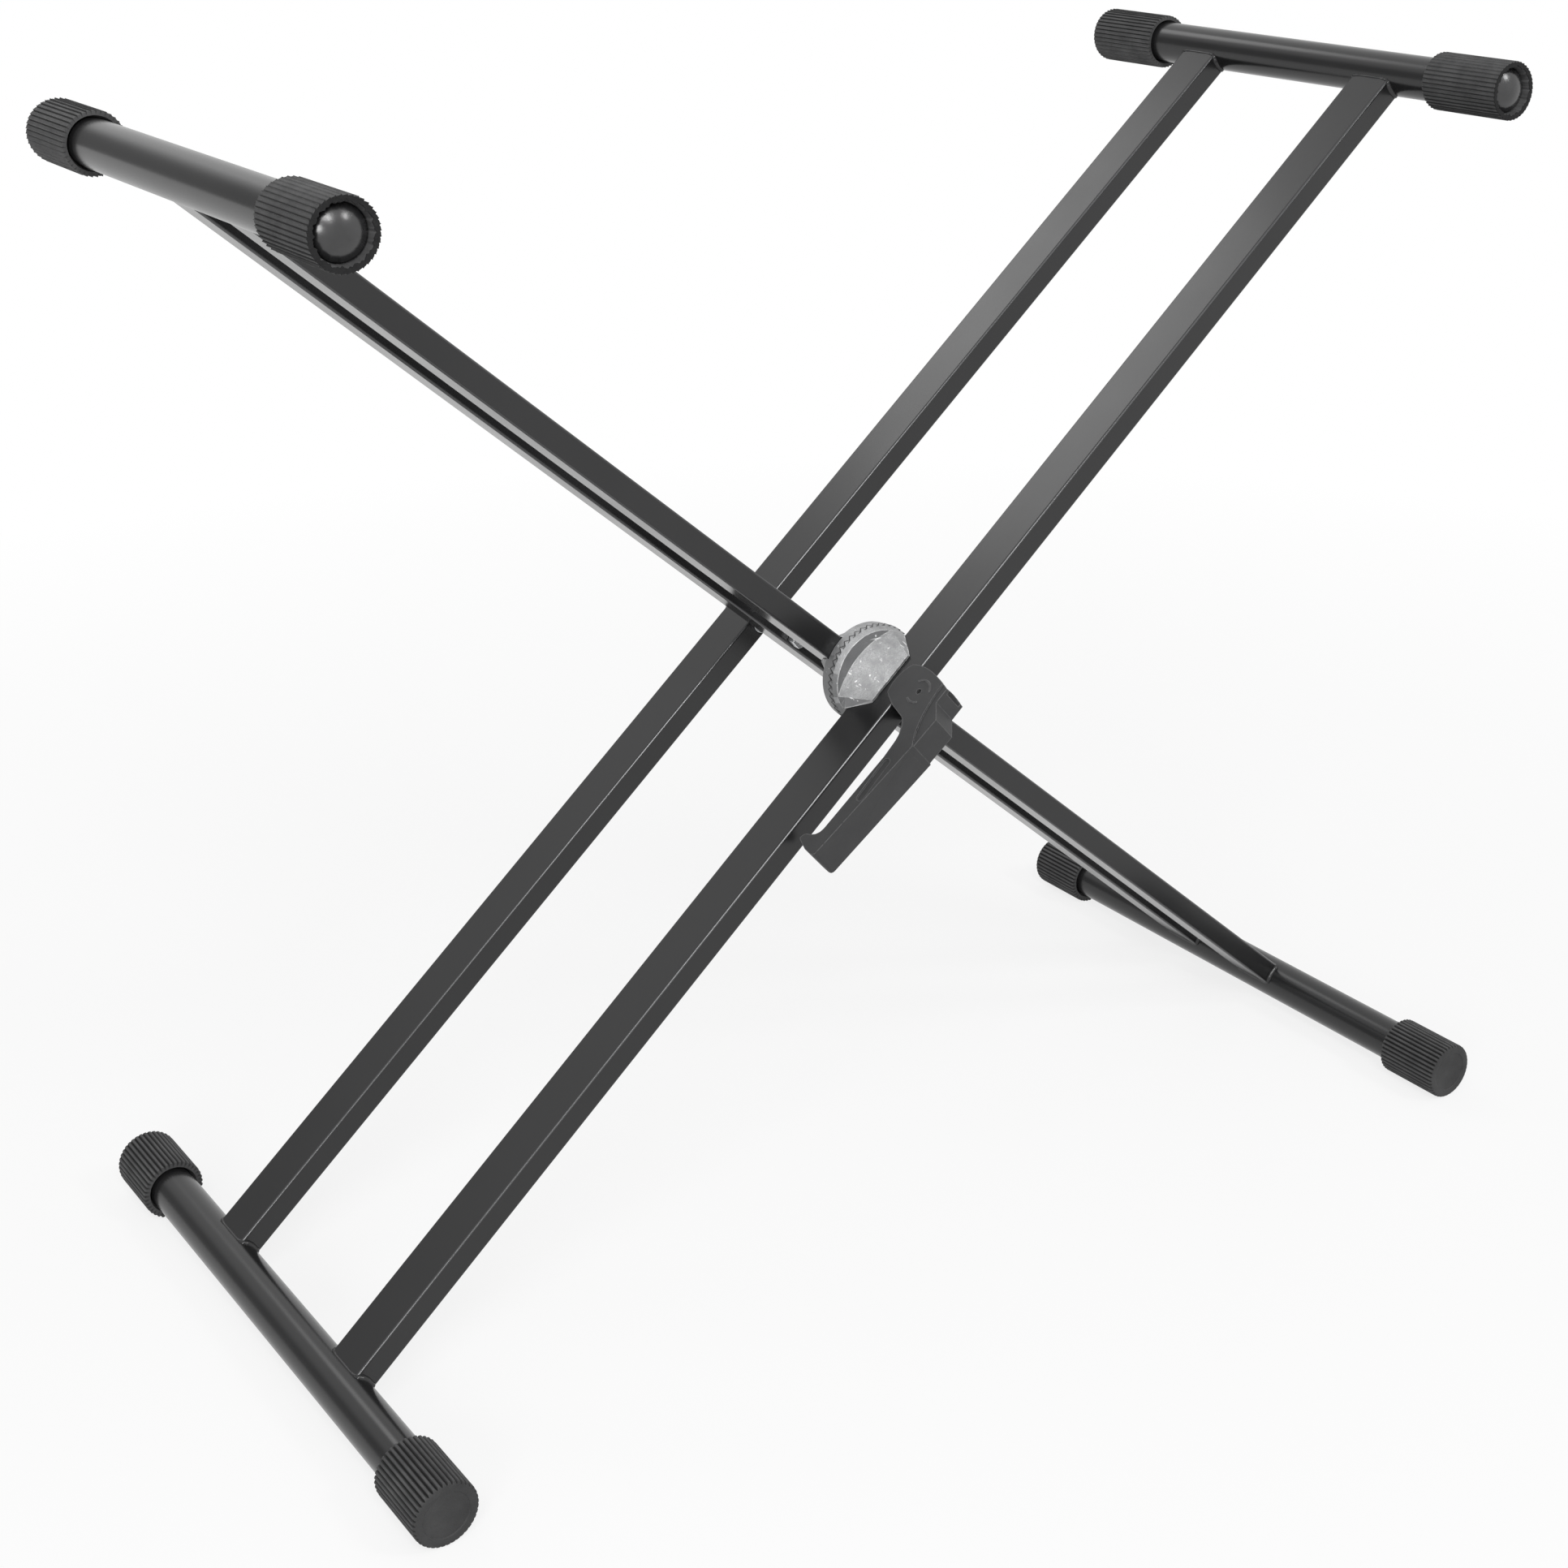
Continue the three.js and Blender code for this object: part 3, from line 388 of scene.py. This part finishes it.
def makeZinc():
    look = zincLook
    material, tree, shader = startMaterial("zincCasting", {"Metallic": look["metallic"]})
    grain = placeGrain(tree, look)
    wear = placeEdgeWearAndPaintedLight(tree, look)
    scale, share = look["scratches"]
    marks = placeGroup(tree, scratches, {"Scale": scale, "Share": share})
    coords = addNode(tree, "ShaderNodeTexCoord").outputs["Object"]
    split = addNode(tree, "ShaderNodeSeparateXYZ")
    tree.links.new(coords, split.inputs[0])
    # painted shade on the rounded edges near the teeth's plane, where the castings meet
    away = mathNode(tree, "SUBTRACT", split.outputs["Y"], look["teethY"])
    away = mathNode(tree, "ABSOLUTE", away)
    nearTeeth = mathNode(tree, "LESS_THAN", away, look["teethReach"])
    clear = mathNode(tree, "SUBTRACT", 1.0, nearTeeth)
    seam = mathNode(tree, "MULTIPLY", wear["Edge"], nearTeeth)
    mottled = mathNode(tree, "MULTIPLY", grain["Cloud"], grain["Speck"])
    body = mixColour(tree, mottled, look["base"], look["pale"])
    # painted shade on the faces marked for it by the way they face
    facingShadeAmount = mathNode(tree, "MULTIPLY", readMarked(tree), look["facingShadeShare"])
    body = mixColour(tree, facingShadeAmount, body, look["facingShade"])
    bright = mathNode(tree, "MAXIMUM", wear["Mask"], marks["Mask"])
    bright = mathNode(tree, "MULTIPLY", bright, clear)
    colour = mixColour(tree, bright, body, look["bright"])
    colour = mixColour(tree, seam, colour, look["teethSeamShade"])
    tree.links.new(colour, shader.inputs["Base Color"])
    dull = remap(tree, grain["Cloud"], 0, 1, *look["roughness"])
    polished = mathNode(tree, "MULTIPLY", bright, look["polish"])
    tree.links.new(mathNode(tree, "ADD", dull, polished), shader.inputs["Roughness"])
    addBump(tree, shader, grain["Height"], *look["bump"])
    return material


platedLook = {
    "base": (0.52, 0.53, 0.54, 1),
    "pale": (0.7, 0.71, 0.72, 1),
    "grain": (200.0, 2500.0),
    "roughness": (0.2, 0.34),
    "bump": (0.1, 0.0002),
}


def makePlated():
    look = platedLook
    material, tree, shader = startMaterial("platedSteel", {"Metallic": 1.0})
    grain = placeGrain(tree, look)
    colour = mixColour(tree, grain["Cloud"], look["base"], look["pale"])
    tree.links.new(colour, shader.inputs["Base Color"])
    rough = remap(tree, grain["Speck"], 0, 1, *look["roughness"])
    tree.links.new(rough, shader.inputs["Roughness"])
    addBump(tree, shader, grain["Height"], *look["bump"])
    return material


zincCasting = makeZinc()
platedSteel = makePlated()
print("materials made")


# puts a finished mesh in the scene, on the body it rides on, and hides the frame's nodes it
# stands for
def addPiece(mesh, name, body, slotName, nodes):
    obj = bpy.data.objects.new(name, mesh)
    bpy.context.scene.collection.objects.link(obj)
    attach(obj, body)
    if nodes:
        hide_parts(*nodes)
    return obj


def finishPiece(bm, name, place, material, rides, sharpAngle=32, recalculate=True):
    bmesh.ops.transform(bm, matrix=place @ mmScale, verts=bm.verts)
    if recalculate:
        bmesh.ops.recalc_face_normals(bm, faces=bm.faces)
    mesh = bpy.data.meshes.new(name)
    bm.to_mesh(mesh)
    bm.free()
    mesh.shade_smooth()
    mesh.set_sharp_from_angle(angle=math.radians(sharpAngle))
    mesh.materials.append(material)
    return addPiece(mesh, name, *rides)


def weightNormals(obj):
    modifier = obj.modifiers.new("weightedNormals", "WEIGHTED_NORMAL")
    modifier.keep_sharp = True


barRadius = 13.45

# legs: rectangular tube, run into the bars they are welded to
legShape = {
    "width": 30,
    "thickness": 15,
    "corner": 1.6,
    "segments": 6,
    "markedFrom": 0.2,  # how far inside both faces a corner's painted highlight starts
    "intoBar": 3.2,
}
legLengths = {"outerUpper": 504, "outerLower": 496, "innerLower": 490}
innerUpper = legLengths["outerUpper"] * legLengths["innerLower"] / legLengths["outerLower"]
outerReach = (legLengths["outerUpper"], legLengths["outerLower"])
innerReach = (innerUpper, legLengths["innerLower"])
legs = [
    # node, direction, y of its middle, upper and lower length, body
    ("outer_leg_front", outerLegs, -78.2, outerReach, "outer_frame"),
    ("outer_leg_rear", outerLegs, 78.2, outerReach, "outer_frame"),
    ("inner_leg_front", innerLegs, -32.2, innerReach, "inner_frame"),
    ("inner_leg_rear", innerLegs, 41.6, innerReach, "inner_frame"),
]


def makeLeg(name, place, y, reach, body):
    shape = legShape
    hidden = barRadius - shape["intoBar"]
    low, high = hidden - reach[1], reach[0] - hidden
    bm = bmesh.new()
    bmesh.ops.create_cube(bm, size=1)
    size = (high - low, shape["width"], shape["thickness"])
    bmesh.ops.scale(bm, vec=size, verts=bm.verts)
    bmesh.ops.translate(bm, vec=((high + low) / 2, y, 0), verts=bm.verts)
    longEdges = [edge for edge in bm.edges if edge.calc_length() > 2 * shape["width"]]
    bmesh.ops.bevel(
        bm,
        geom=longEdges,
        offset=shape["corner"],
        segments=shape["segments"],
        profile=0.5,
        affect="EDGES",
        material=-1,
    )
    # the corners' strips carry the paint's painted highlight
    marked = bm.verts.layers.float.new("marked")
    for vert in bm.verts:
        fromWide = shape["thickness"] / 2 - abs(vert.co.z)
        fromNarrow = shape["width"] / 2 - abs(vert.co.y - y)
        vert[marked] = float(min(fromWide, fromNarrow) > shape["markedFrom"])
    rides = (body, "frame_paint", [name])
    weightNormals(finishPiece(bm, name + "_tube", place, framePaint, rides))


# a weld bead follows the leg's outline over the bar, thick on the narrow sides
weldShape = {
    "points": 56,
    "roundness": 3,
    "squareness": 0.3,  # 1 would make the bead's outline an ellipse
    "thick": 2.6,
    "thin": 1.1,
    "ripple": 0.12,
    "ripples": 17,
    "sunk": 0.5,
}


def squared(value):
    return math.copysign(abs(value) ** weldShape["squareness"], value)


def makeWeld(name, place, y, barX, body):
    shape = weldShape
    halfWidth = legShape["width"] / 2 - shape["sunk"]
    halfThick = legShape["thickness"] / 2 - shape["sunk"]
    curve = bpy.data.curves.new(name, "CURVE")
    curve.dimensions = "3D"
    curve.bevel_depth = mm  # times each point's own radius
    curve.bevel_resolution = shape["roundness"]
    spline = curve.splines.new("POLY")
    spline.points.add(shape["points"] - 1)
    spline.use_cyclic_u = True
    matrix = place @ mmScale
    for number, point in enumerate(spline.points):
        angle = 2 * math.pi * number / shape["points"]
        across, z = squared(math.cos(angle)) * halfWidth, squared(math.sin(angle)) * halfThick
        onBar = math.sqrt(barRadius**2 - z * z) - shape["sunk"]
        x = barX - math.copysign(onBar, barX)
        point.co = (*(matrix @ Vector((x, y + across, z))), 1)
        size = shape["thin"] + (shape["thick"] - shape["thin"]) * math.cos(angle) ** 2
        point.radius = size * (1 + shape["ripple"] * math.sin(shape["ripples"] * angle))
    rough = bpy.data.objects.new(name + "_curve", curve)
    mesh = bpy.data.meshes.new_from_object(rough)
    bpy.data.objects.remove(rough)
    mesh.name = name
    mesh.shade_smooth()
    mesh.materials.clear()
    mesh.materials.append(framePaint)
    addPiece(mesh, name, body, "frame_paint", [])


for node, place, y, reach, body in legs:
    makeLeg(node, place, y, reach, body)
    makeWeld(node + "_weld_top", place, y, reach[0], body)
    makeWeld(node + "_weld_bottom", place, y, -reach[1], body)
print("legs and welds made")


mergeWithin = 1e-4  # points this near to one another become one


# a body turned about Y from a line of radius and y pairs
def turnProfile(profile, sides, closed=False):
    bm = bmesh.new()
    points = [bm.verts.new((radius, y, 0)) for radius, y in profile]
    nextPoints = points[1:] + points[:1] if closed else points[1:]
    edges = [bm.edges.new(pair) for pair in zip(points, nextPoints)]
    bmesh.ops.spin(
        bm,
        geom=points + edges,
        axis=(0, 1, 0),
        cent=(0, 0, 0),
        angle=2 * math.pi,
        steps=sides,
        use_merge=True,
    )
    bmesh.ops.remove_doubles(bm, verts=bm.verts, dist=mergeWithin)
    return bm


# the frames' bars lie along Y at the ends of the legs
barShape = {
    "wall": 1.6,
    "edge": 0.5,
    "sides": 96,
    "topHalf": 176.5,
    "bottomHalf": 200.7,
}


def alongLeg(angle, side, distance):
    reach = distance * mm
    offset = (side * reach * math.cos(angle), 0, reach * math.sin(angle))
    return Matrix.Translation(pivotPoint + Vector(offset))


barPlaces = {
    "outer_top": alongLeg(outerAngle, 1, outerReach[0]),
    "outer_bottom": alongLeg(outerAngle, 1, -outerReach[1]),
    "inner_top": alongLeg(innerAngle, -1, innerReach[0]),
    "inner_bottom": alongLeg(innerAngle, -1, -innerReach[1]),
}


def makeBar(name, place, half, body):
    inner, edge = barRadius - barShape["wall"], barShape["edge"]
    profile = [
        (inner, -half),
        (barRadius - edge, -half),
        (barRadius, -half + edge),
        (barRadius, half - edge),
        (barRadius - edge, half),
        (inner, half),
    ]
    bm = turnProfile(profile, barShape["sides"], closed=True)
    finishPiece(bm, name + "_tube", place, framePaint, (body, "frame_paint", [name]))


for spot, place in barPlaces.items():
    body = spot.split("_")[0] + "_frame"
    half = barShape["topHalf"] if spot.endswith("top") else barShape["bottomHalf"]
    makeBar(spot + "_bar", place, half, body)
print("bars made")

# ribbed rubber: the same spun body, with its ribs pressed in by angle
ribShape = {
    "count": 40,
    "stations": 10,  # points round one rib
    # a sleeve's rib is a sharp ridge, a thin groove and a nearly flat band
    "sleeve": (0, 0.95, 0.9, 0.7, 0.64, 0.6, 0.58, 0.56, 0.52, 0.38),
    # painted shade in the sleeve's thin groove beside each ridge
    "sleeveGrooveShade": (0, 1, 0.7, 0.1, 0, 0, 0, 0, 0, 0),
    # a foot's rib is a round crest as wide as its groove
    "foot": (0, 0.04, 0.14, 0.62, 1.15, 1.35, 1.15, 0.62, 0.14, 0.04),
    # painted shade in the foot's grooves
    "footGrooveShade": (0, 0, 0.05, 0.55, 0.9, 1, 0.9, 0.55, 0.05, 0),
    "faceMark": 0.42,  # a foot's end face is darker than its ribs
}
sleeveShape = {
    "length": 57,
    "radius": 17.8,
    "edge": 0.35,
    "mouth": 14.4,
    "lip": (0.3, 0.5),  # how much the mouth widens, and over what depth
    "recess": 6,
    "backMouth": 14.9,
    "bore": 13.6,
    # waves round the torn mouth: how many, how high, and where they start
    "raggedWaves": ((13, 0.4, 1.0), (29, 0.28, 0.0), (47, 0.16, 0.0)),
}
footShape = {
    "length": 45,
    "radius": 18.8,
    "edge": 0.4,
    "round": 2.0,
    "roundSteps": 8,
    "ring": 13.4,
    # across the shallow ring in the end face: outwards from it, and down
    "ringProfile": ((0.6, 0), (0.1, 0.1), (-0.4, 0.55), (-1.2, 0.605)),
    "dish": 0.44,
    "backMouth": 15.0,
    "bore": 13.6,
}
backOpening = {"boreStarts": 4, "lip": (0.3, 0.6)}  # where the bar goes in, on both kinds


def backProfile(shape):
    back, mouth, edge = -shape["length"], shape["backMouth"], shape["edge"]
    widens, deep = backOpening["lip"]
    return [
        (shape["bore"], back + backOpening["boreStarts"]),
        (mouth - widens, back + deep),
        (mouth, back),
        (shape["radius"] - edge, back),
        (shape["radius"], back + edge),
    ]


# ribs go as deep as the drops say, but no deeper than what is already rounded off; the marks put
# painted shade in the grooves
def pressRibs(bm, radius, drops, marks):
    marked = bm.verts.layers.float.new("marked")
    for vert in bm.verts:
        flat = math.hypot(vert.co.x, vert.co.z)
        if flat > radius - max(drops):
            share = (math.atan2(vert.co.z, vert.co.x) / (2 * math.pi) * ribShape["count"]) % 1
            station = round(share * ribShape["stations"]) % ribShape["stations"]
            ribbed = radius - drops[station]
            factor = min(flat, ribbed) / flat
            vert.co.x *= factor
            vert.co.z *= factor
            vert[marked] = marks[station] * float(factor < 1)


# a torn moulding edge: the points of one ring move in and out
def roughenRing(bm, radius, y, waves):
    near = 0.05
    for vert in bm.verts:
        flat = math.hypot(vert.co.x, vert.co.z)
        if abs(flat - radius) < near and abs(vert.co.y - y) < near:
            angle = math.atan2(vert.co.z, vert.co.x)
            step = sum(high * math.sin(count * angle + start) for count, high, start in waves)
            factor = (flat - step) / flat
            vert.co.x *= factor
            vert.co.z *= factor


def makeSleeve(name, place, body):
    shape = sleeveShape
    radius, edge, mouth = shape["radius"], shape["edge"], shape["mouth"]
    widens, deep = shape["lip"]
    profile = backProfile(shape) + [
        (radius, -edge),
        (radius - edge, 0),
        (mouth + widens, 0),
        (mouth, -deep),
        (shape["bore"], -shape["recess"]),
    ]
    bm = turnProfile(profile, ribShape["count"] * ribShape["stations"])
    pressRibs(bm, radius, ribShape["sleeve"], ribShape["sleeveGrooveShade"])
    roughenRing(bm, mouth + widens, 0, shape["raggedWaves"])
    roughenRing(bm, mouth, -deep, shape["raggedWaves"])
    # the mouth's end face takes the second material, darker as painted shade
    for face in bm.faces:
        face.material_index = int(face.calc_center_median().y > -edge)
    rides = (body, "black_rubber", [name])
    obj = finishPiece(bm, name + "_rubber", place, rubber, rides, sharpAngle=20)
    obj.data.materials.append(shadedEndRubber)


def makeFoot(name, place, body):
    shape = footShape
    radius = shape["radius"]
    profile = backProfile(shape)
    for step in range(shape["roundSteps"] + 1):
        angle = math.pi / 2 * step / shape["roundSteps"]
        inward = shape["round"] * (1 - math.cos(angle))
        profile.append((radius - inward, shape["round"] * (math.sin(angle) - 1)))
    profile += [(shape["ring"] + out, -down) for out, down in shape["ringProfile"]]
    profile.append((0, -shape["dish"]))
    bm = turnProfile(profile, ribShape["count"] * ribShape["stations"])
    pressRibs(bm, radius, ribShape["foot"], ribShape["footGrooveShade"])
    marked = bm.verts.layers.float["marked"]
    for vert in bm.verts:
        if vert.co.y > -shape["round"] / 2:
            vert[marked] = max(vert[marked], ribShape["faceMark"])
    rides = (body, "black_rubber", [name])
    finishPiece(bm, name + "_rubber", place, rubber, rides, sharpAngle=30)


# plugs: a stem in the bar, a thin rim and a domed face
plugShape = {
    "stem": 11.5,
    "edge": 12.9,
    "lip": 0.35,
    "rise": 5.0,
    "sides": 72,
    "depth": 11,
    "steps": 12,
}


def makePlug(name, place, body):
    shape = plugShape
    stem, edge, lip, rise = shape["stem"], shape["edge"], shape["lip"], shape["rise"]
    profile = [(stem, -shape["depth"]), (stem, lip), (edge, lip)]
    sphere = (edge**2 + rise**2) / (2 * rise)
    for step in range(shape["steps"], -1, -1):
        angle = math.asin(edge / sphere) * step / shape["steps"]
        height = 2 * lip + rise - sphere * (1 - math.cos(angle))
        profile.append((sphere * math.sin(angle), height))
    bm = turnProfile(profile, shape["sides"])
    rides = (body, "plug_plastic", [name])
    finishPiece(bm, name + "_dome", place, plugGloss, rides, sharpAngle=50)


barEnds = {"sleeve": 181.5, "foot": 206, "plug": 176.5}  # each kind's face from the bar's middle
for frameName in ("outer", "inner"):
    body = frameName + "_frame"
    top, bottom = barPlaces[frameName + "_top"], barPlaces[frameName + "_bottom"]
    for spot, side in (("front", -1), ("rear", 1)):
        facing = Matrix.Rotation(0 if side > 0 else math.pi, 4, "Z")
        ends = {
            kind: Matrix.Translation((0, side * distance * mm, 0)) @ facing
            for kind, distance in barEnds.items()
        }
        makeSleeve(f"{frameName}_sleeve_{spot}", top @ ends["sleeve"], body)
        makePlug(f"{frameName}_plug_{spot}", top @ ends["plug"], body)
        makeFoot(f"{frameName}_foot_{spot}", bottom @ ends["foot"], body)
print("rubber and plugs made")


# clutch, lever and fixings: the frame's own solids with their edges rounded
softening = {
    "mergeWithin": 1e-6,
    "flatWithin": 1.5,  # in degrees
    "sharpFrom": 28,
    "segments": 2,
    # castings get painted shade where they face the front or rear, downwards or left
    "facesAlong": 0.95,
    "facesDown": 0.35,
    "facesLeft": 0.85,
}


def takesFacingShade(normal):
    if abs(normal.y) > softening["facesAlong"]:
        return True
    return normal.z < -softening["facesDown"] or normal.x < -softening["facesLeft"]


def softenCopy(name, suffix, material, slotName, width):
    node = frame["nodes"][name]
    bm = bmesh.new()
    bm.from_mesh(node.data)
    bmesh.ops.remove_doubles(bm, verts=bm.verts, dist=softening["mergeWithin"])
    flat, sharp = math.radians(softening["flatWithin"]), math.radians(softening["sharpFrom"])
    bmesh.ops.dissolve_limit(bm, angle_limit=flat, verts=bm.verts, edges=bm.edges)
    marked = bm.faces.layers.float.new("marked")
    folds = [edge for edge in bm.edges if len(edge.link_faces) == 2]
    bmesh.ops.bevel(
        bm,
        geom=[edge for edge in folds if edge.calc_face_angle() > sharp],
        offset=width * mm,
        segments=softening["segments"],
        profile=0.5,
        affect="EDGES",
        clamp_overlap=True,
        material=-1,
    )
    bmesh.ops.scale(bm, vec=(1 / mm, 1 / mm, 1 / mm), verts=bm.verts)
    bm.normal_update()
    # faces that face the front or rear, downwards or left are marked for painted shade
    for face in bm.faces:
        face[marked] = float(takesFacingShade(face.normal))
    rides = (node["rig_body"], slotName, [name])
    weightNormals(finishPiece(bm, name + suffix, Matrix(), material, rides, recalculate=False))


# ending, material, slot and rounding
casting = ("_casting", zincCasting, "zinc_casting", 0.15)
moulding = ("_moulding", leverPlastic, "lever_plastic", 0.5)
plated = ("_plated", platedSteel, "plated_steel", 0.35)
blackened = ("_blackened", blackenedSteel, "plated_steel", 0.35)
softened = {
    "clutch_outer": casting,
    "clutch_inner": casting,
    "release_lever": moulding,
    "draw_nut": plated,
    "rear_nut": plated,
    "rear_bolt": plated,
    "rear_washer": plated,
    "draw_washer": plated,
    "draw_bolt": plated,
    "lever_pin": blackened,
    "thrust_plate": plated,
}
for name, settings in softened.items():
    softenCopy(name, *settings)
# what is left of the frame's own solids is the spring inside the castings
for node in frame["nodes"].values():
    if not node.hide_render:
        node.data.materials.clear()
        node.data.materials.append(platedSteel)
print("clutch, lever and fixings made")

floorSetup = {
    "size": 40,
    "below": 0.0003,
    "roughness": 0.9,
    "colour": (0.95, 0.95, 0.95, 1),
    "bounce": (0.4, 0.4, 0.4, 1),  # what it throws back at the stand
    "whiteNear": 0.8,  # how much of a white card shows through the floor's own shade
    "fadeFrom": 0.5,
    "fadeTo": 1.6,
}


# the light path's outputs, and 1 on the rays that show a thing, straight or in a reflection
def splitRays(tree):
    path = addNode(tree, "ShaderNodeLightPath").outputs
    shown = mathNode(tree, "MAXIMUM", path["Is Camera Ray"], path["Is Glossy Ray"])
    return path, mathNode(tree, "MAXIMUM", shown, path["Is Transmission Ray"])


# pale paper that is plain white to the camera and in reflections, with a soft shadow kept near
def addFloor():
    bm = bmesh.new()
    bmesh.ops.create_grid(bm, x_segments=1, y_segments=1, size=floorSetup["size"] / 2)
    mesh = bpy.data.meshes.new("floor")
    bm.to_mesh(mesh)
    bm.free()
    floor = bpy.data.objects.new("floor", mesh)
    floor.location.z = -floorSetup["below"]
    bpy.context.scene.collection.objects.link(floor)
    values = {"Roughness": floorSetup["roughness"], "Specular IOR Level": 0.0}
    material, tree, shader = startMaterial("floorPaper", values)
    coords = addNode(tree, "ShaderNodeTexCoord").outputs["Object"]
    distance = addNode(tree, "ShaderNodeVectorMath", operation="LENGTH")
    tree.links.new(coords, distance.inputs[0])
    fade = (floorSetup["fadeFrom"], floorSetup["fadeTo"], floorSetup["whiteNear"], 1.0)
    share = remap(tree, distance.outputs["Value"], *fade)
    shown = splitRays(tree)[1]
    colour = mixColour(tree, shown, floorSetup["bounce"], floorSetup["colour"])
    tree.links.new(colour, shader.inputs["Base Color"])
    white = addNode(tree, "ShaderNodeEmission", {"Color": (1, 1, 1, 1), "Strength": 1.0})
    mix = tree.nodes.new("ShaderNodeMixShader")
    tree.links.new(mathNode(tree, "MULTIPLY", share, shown), mix.inputs[0])
    tree.links.new(shader.outputs[0], mix.inputs[1])
    tree.links.new(white.outputs[0], mix.inputs[2])
    tree.links.new(mix.outputs[0], tree.nodes["Material Output"].inputs["Surface"])
    mesh.materials.append(material)


lampSetup = {
    # place, size, power, aimed at
    "keyLeft": ((-1.6, -2.1, 2.9), 1.4, 34, (0, 0, 0.35)),
    "frontLow": ((-2.21, -1.95, 1.12), 0.8, 20, (-0.2, 0, 0.5)),
    "frontHigh": ((-0.87, -2.19, 2.18), 0.6, 12, (-0.2, 0, 0.5)),
    "right": ((1.0, -1.88, 2.05), 0.6, 11, (-0.2, 0, 0.5)),
    "backTop": ((-0.22, 2.2, 2.49), 0.9, 4.5, (0.1, 0, 0.5)),
}
worldSetup = {
    "seen": 1.0,  # how white it looks, and how much it lights
    "lighting": 0.42,
    # a dark screen low at the back left, which only reflections show
    "screen": 0.62,
    "screenSide": (0.06, -0.14),  # its soft edges
    "screenTop": (0.5, 0.34),
}


def addLamps():
    for name, (place, size, power, target) in lampSetup.items():
        light = bpy.data.lights.new(name, "AREA")
        light.shape = "DISK"
        light.size = size
        light.energy = power
        obj = bpy.data.objects.new(name, light)
        obj.location = place
        aim = Vector(target) - Vector(place)
        obj.rotation_euler = aim.to_track_quat("-Z", "Y").to_euler()
        obj.visible_camera = False
        bpy.context.scene.collection.objects.link(obj)


def setWorld():
    world = bpy.data.worlds.new("studio")
    bpy.context.scene.world = world
    world.use_nodes = True
    tree = world.node_tree
    background = tree.nodes["Background"]
    background.inputs["Color"].default_value = (1, 1, 1, 1)
    path, shown = splitRays(tree)
    strength = remap(tree, shown, 0, 1, worldSetup["lighting"], worldSetup["seen"])
    direction = addNode(tree, "ShaderNodeTexCoord").outputs["Generated"]
    split = addNode(tree, "ShaderNodeSeparateXYZ")
    tree.links.new(direction, split.inputs[0])
    side = remap(tree, split.outputs["X"], *worldSetup["screenSide"])
    below = remap(tree, split.outputs["Z"], *worldSetup["screenTop"])
    back = mathNode(tree, "GREATER_THAN", split.outputs["Y"], 0.0)
    screen = mathNode(tree, "MULTIPLY", mathNode(tree, "MULTIPLY", side, below), back)
    screen = mathNode(tree, "MULTIPLY", screen, path["Is Glossy Ray"])
    screen = mathNode(tree, "MULTIPLY", screen, worldSetup["screen"])
    strength = mathNode(tree, "SUBTRACT", strength, screen)
    tree.links.new(strength, background.inputs["Strength"])


addFloor()
addLamps()
setWorld()
bpy.context.scene.view_settings.view_transform = "Standard"
print("floor and light set")
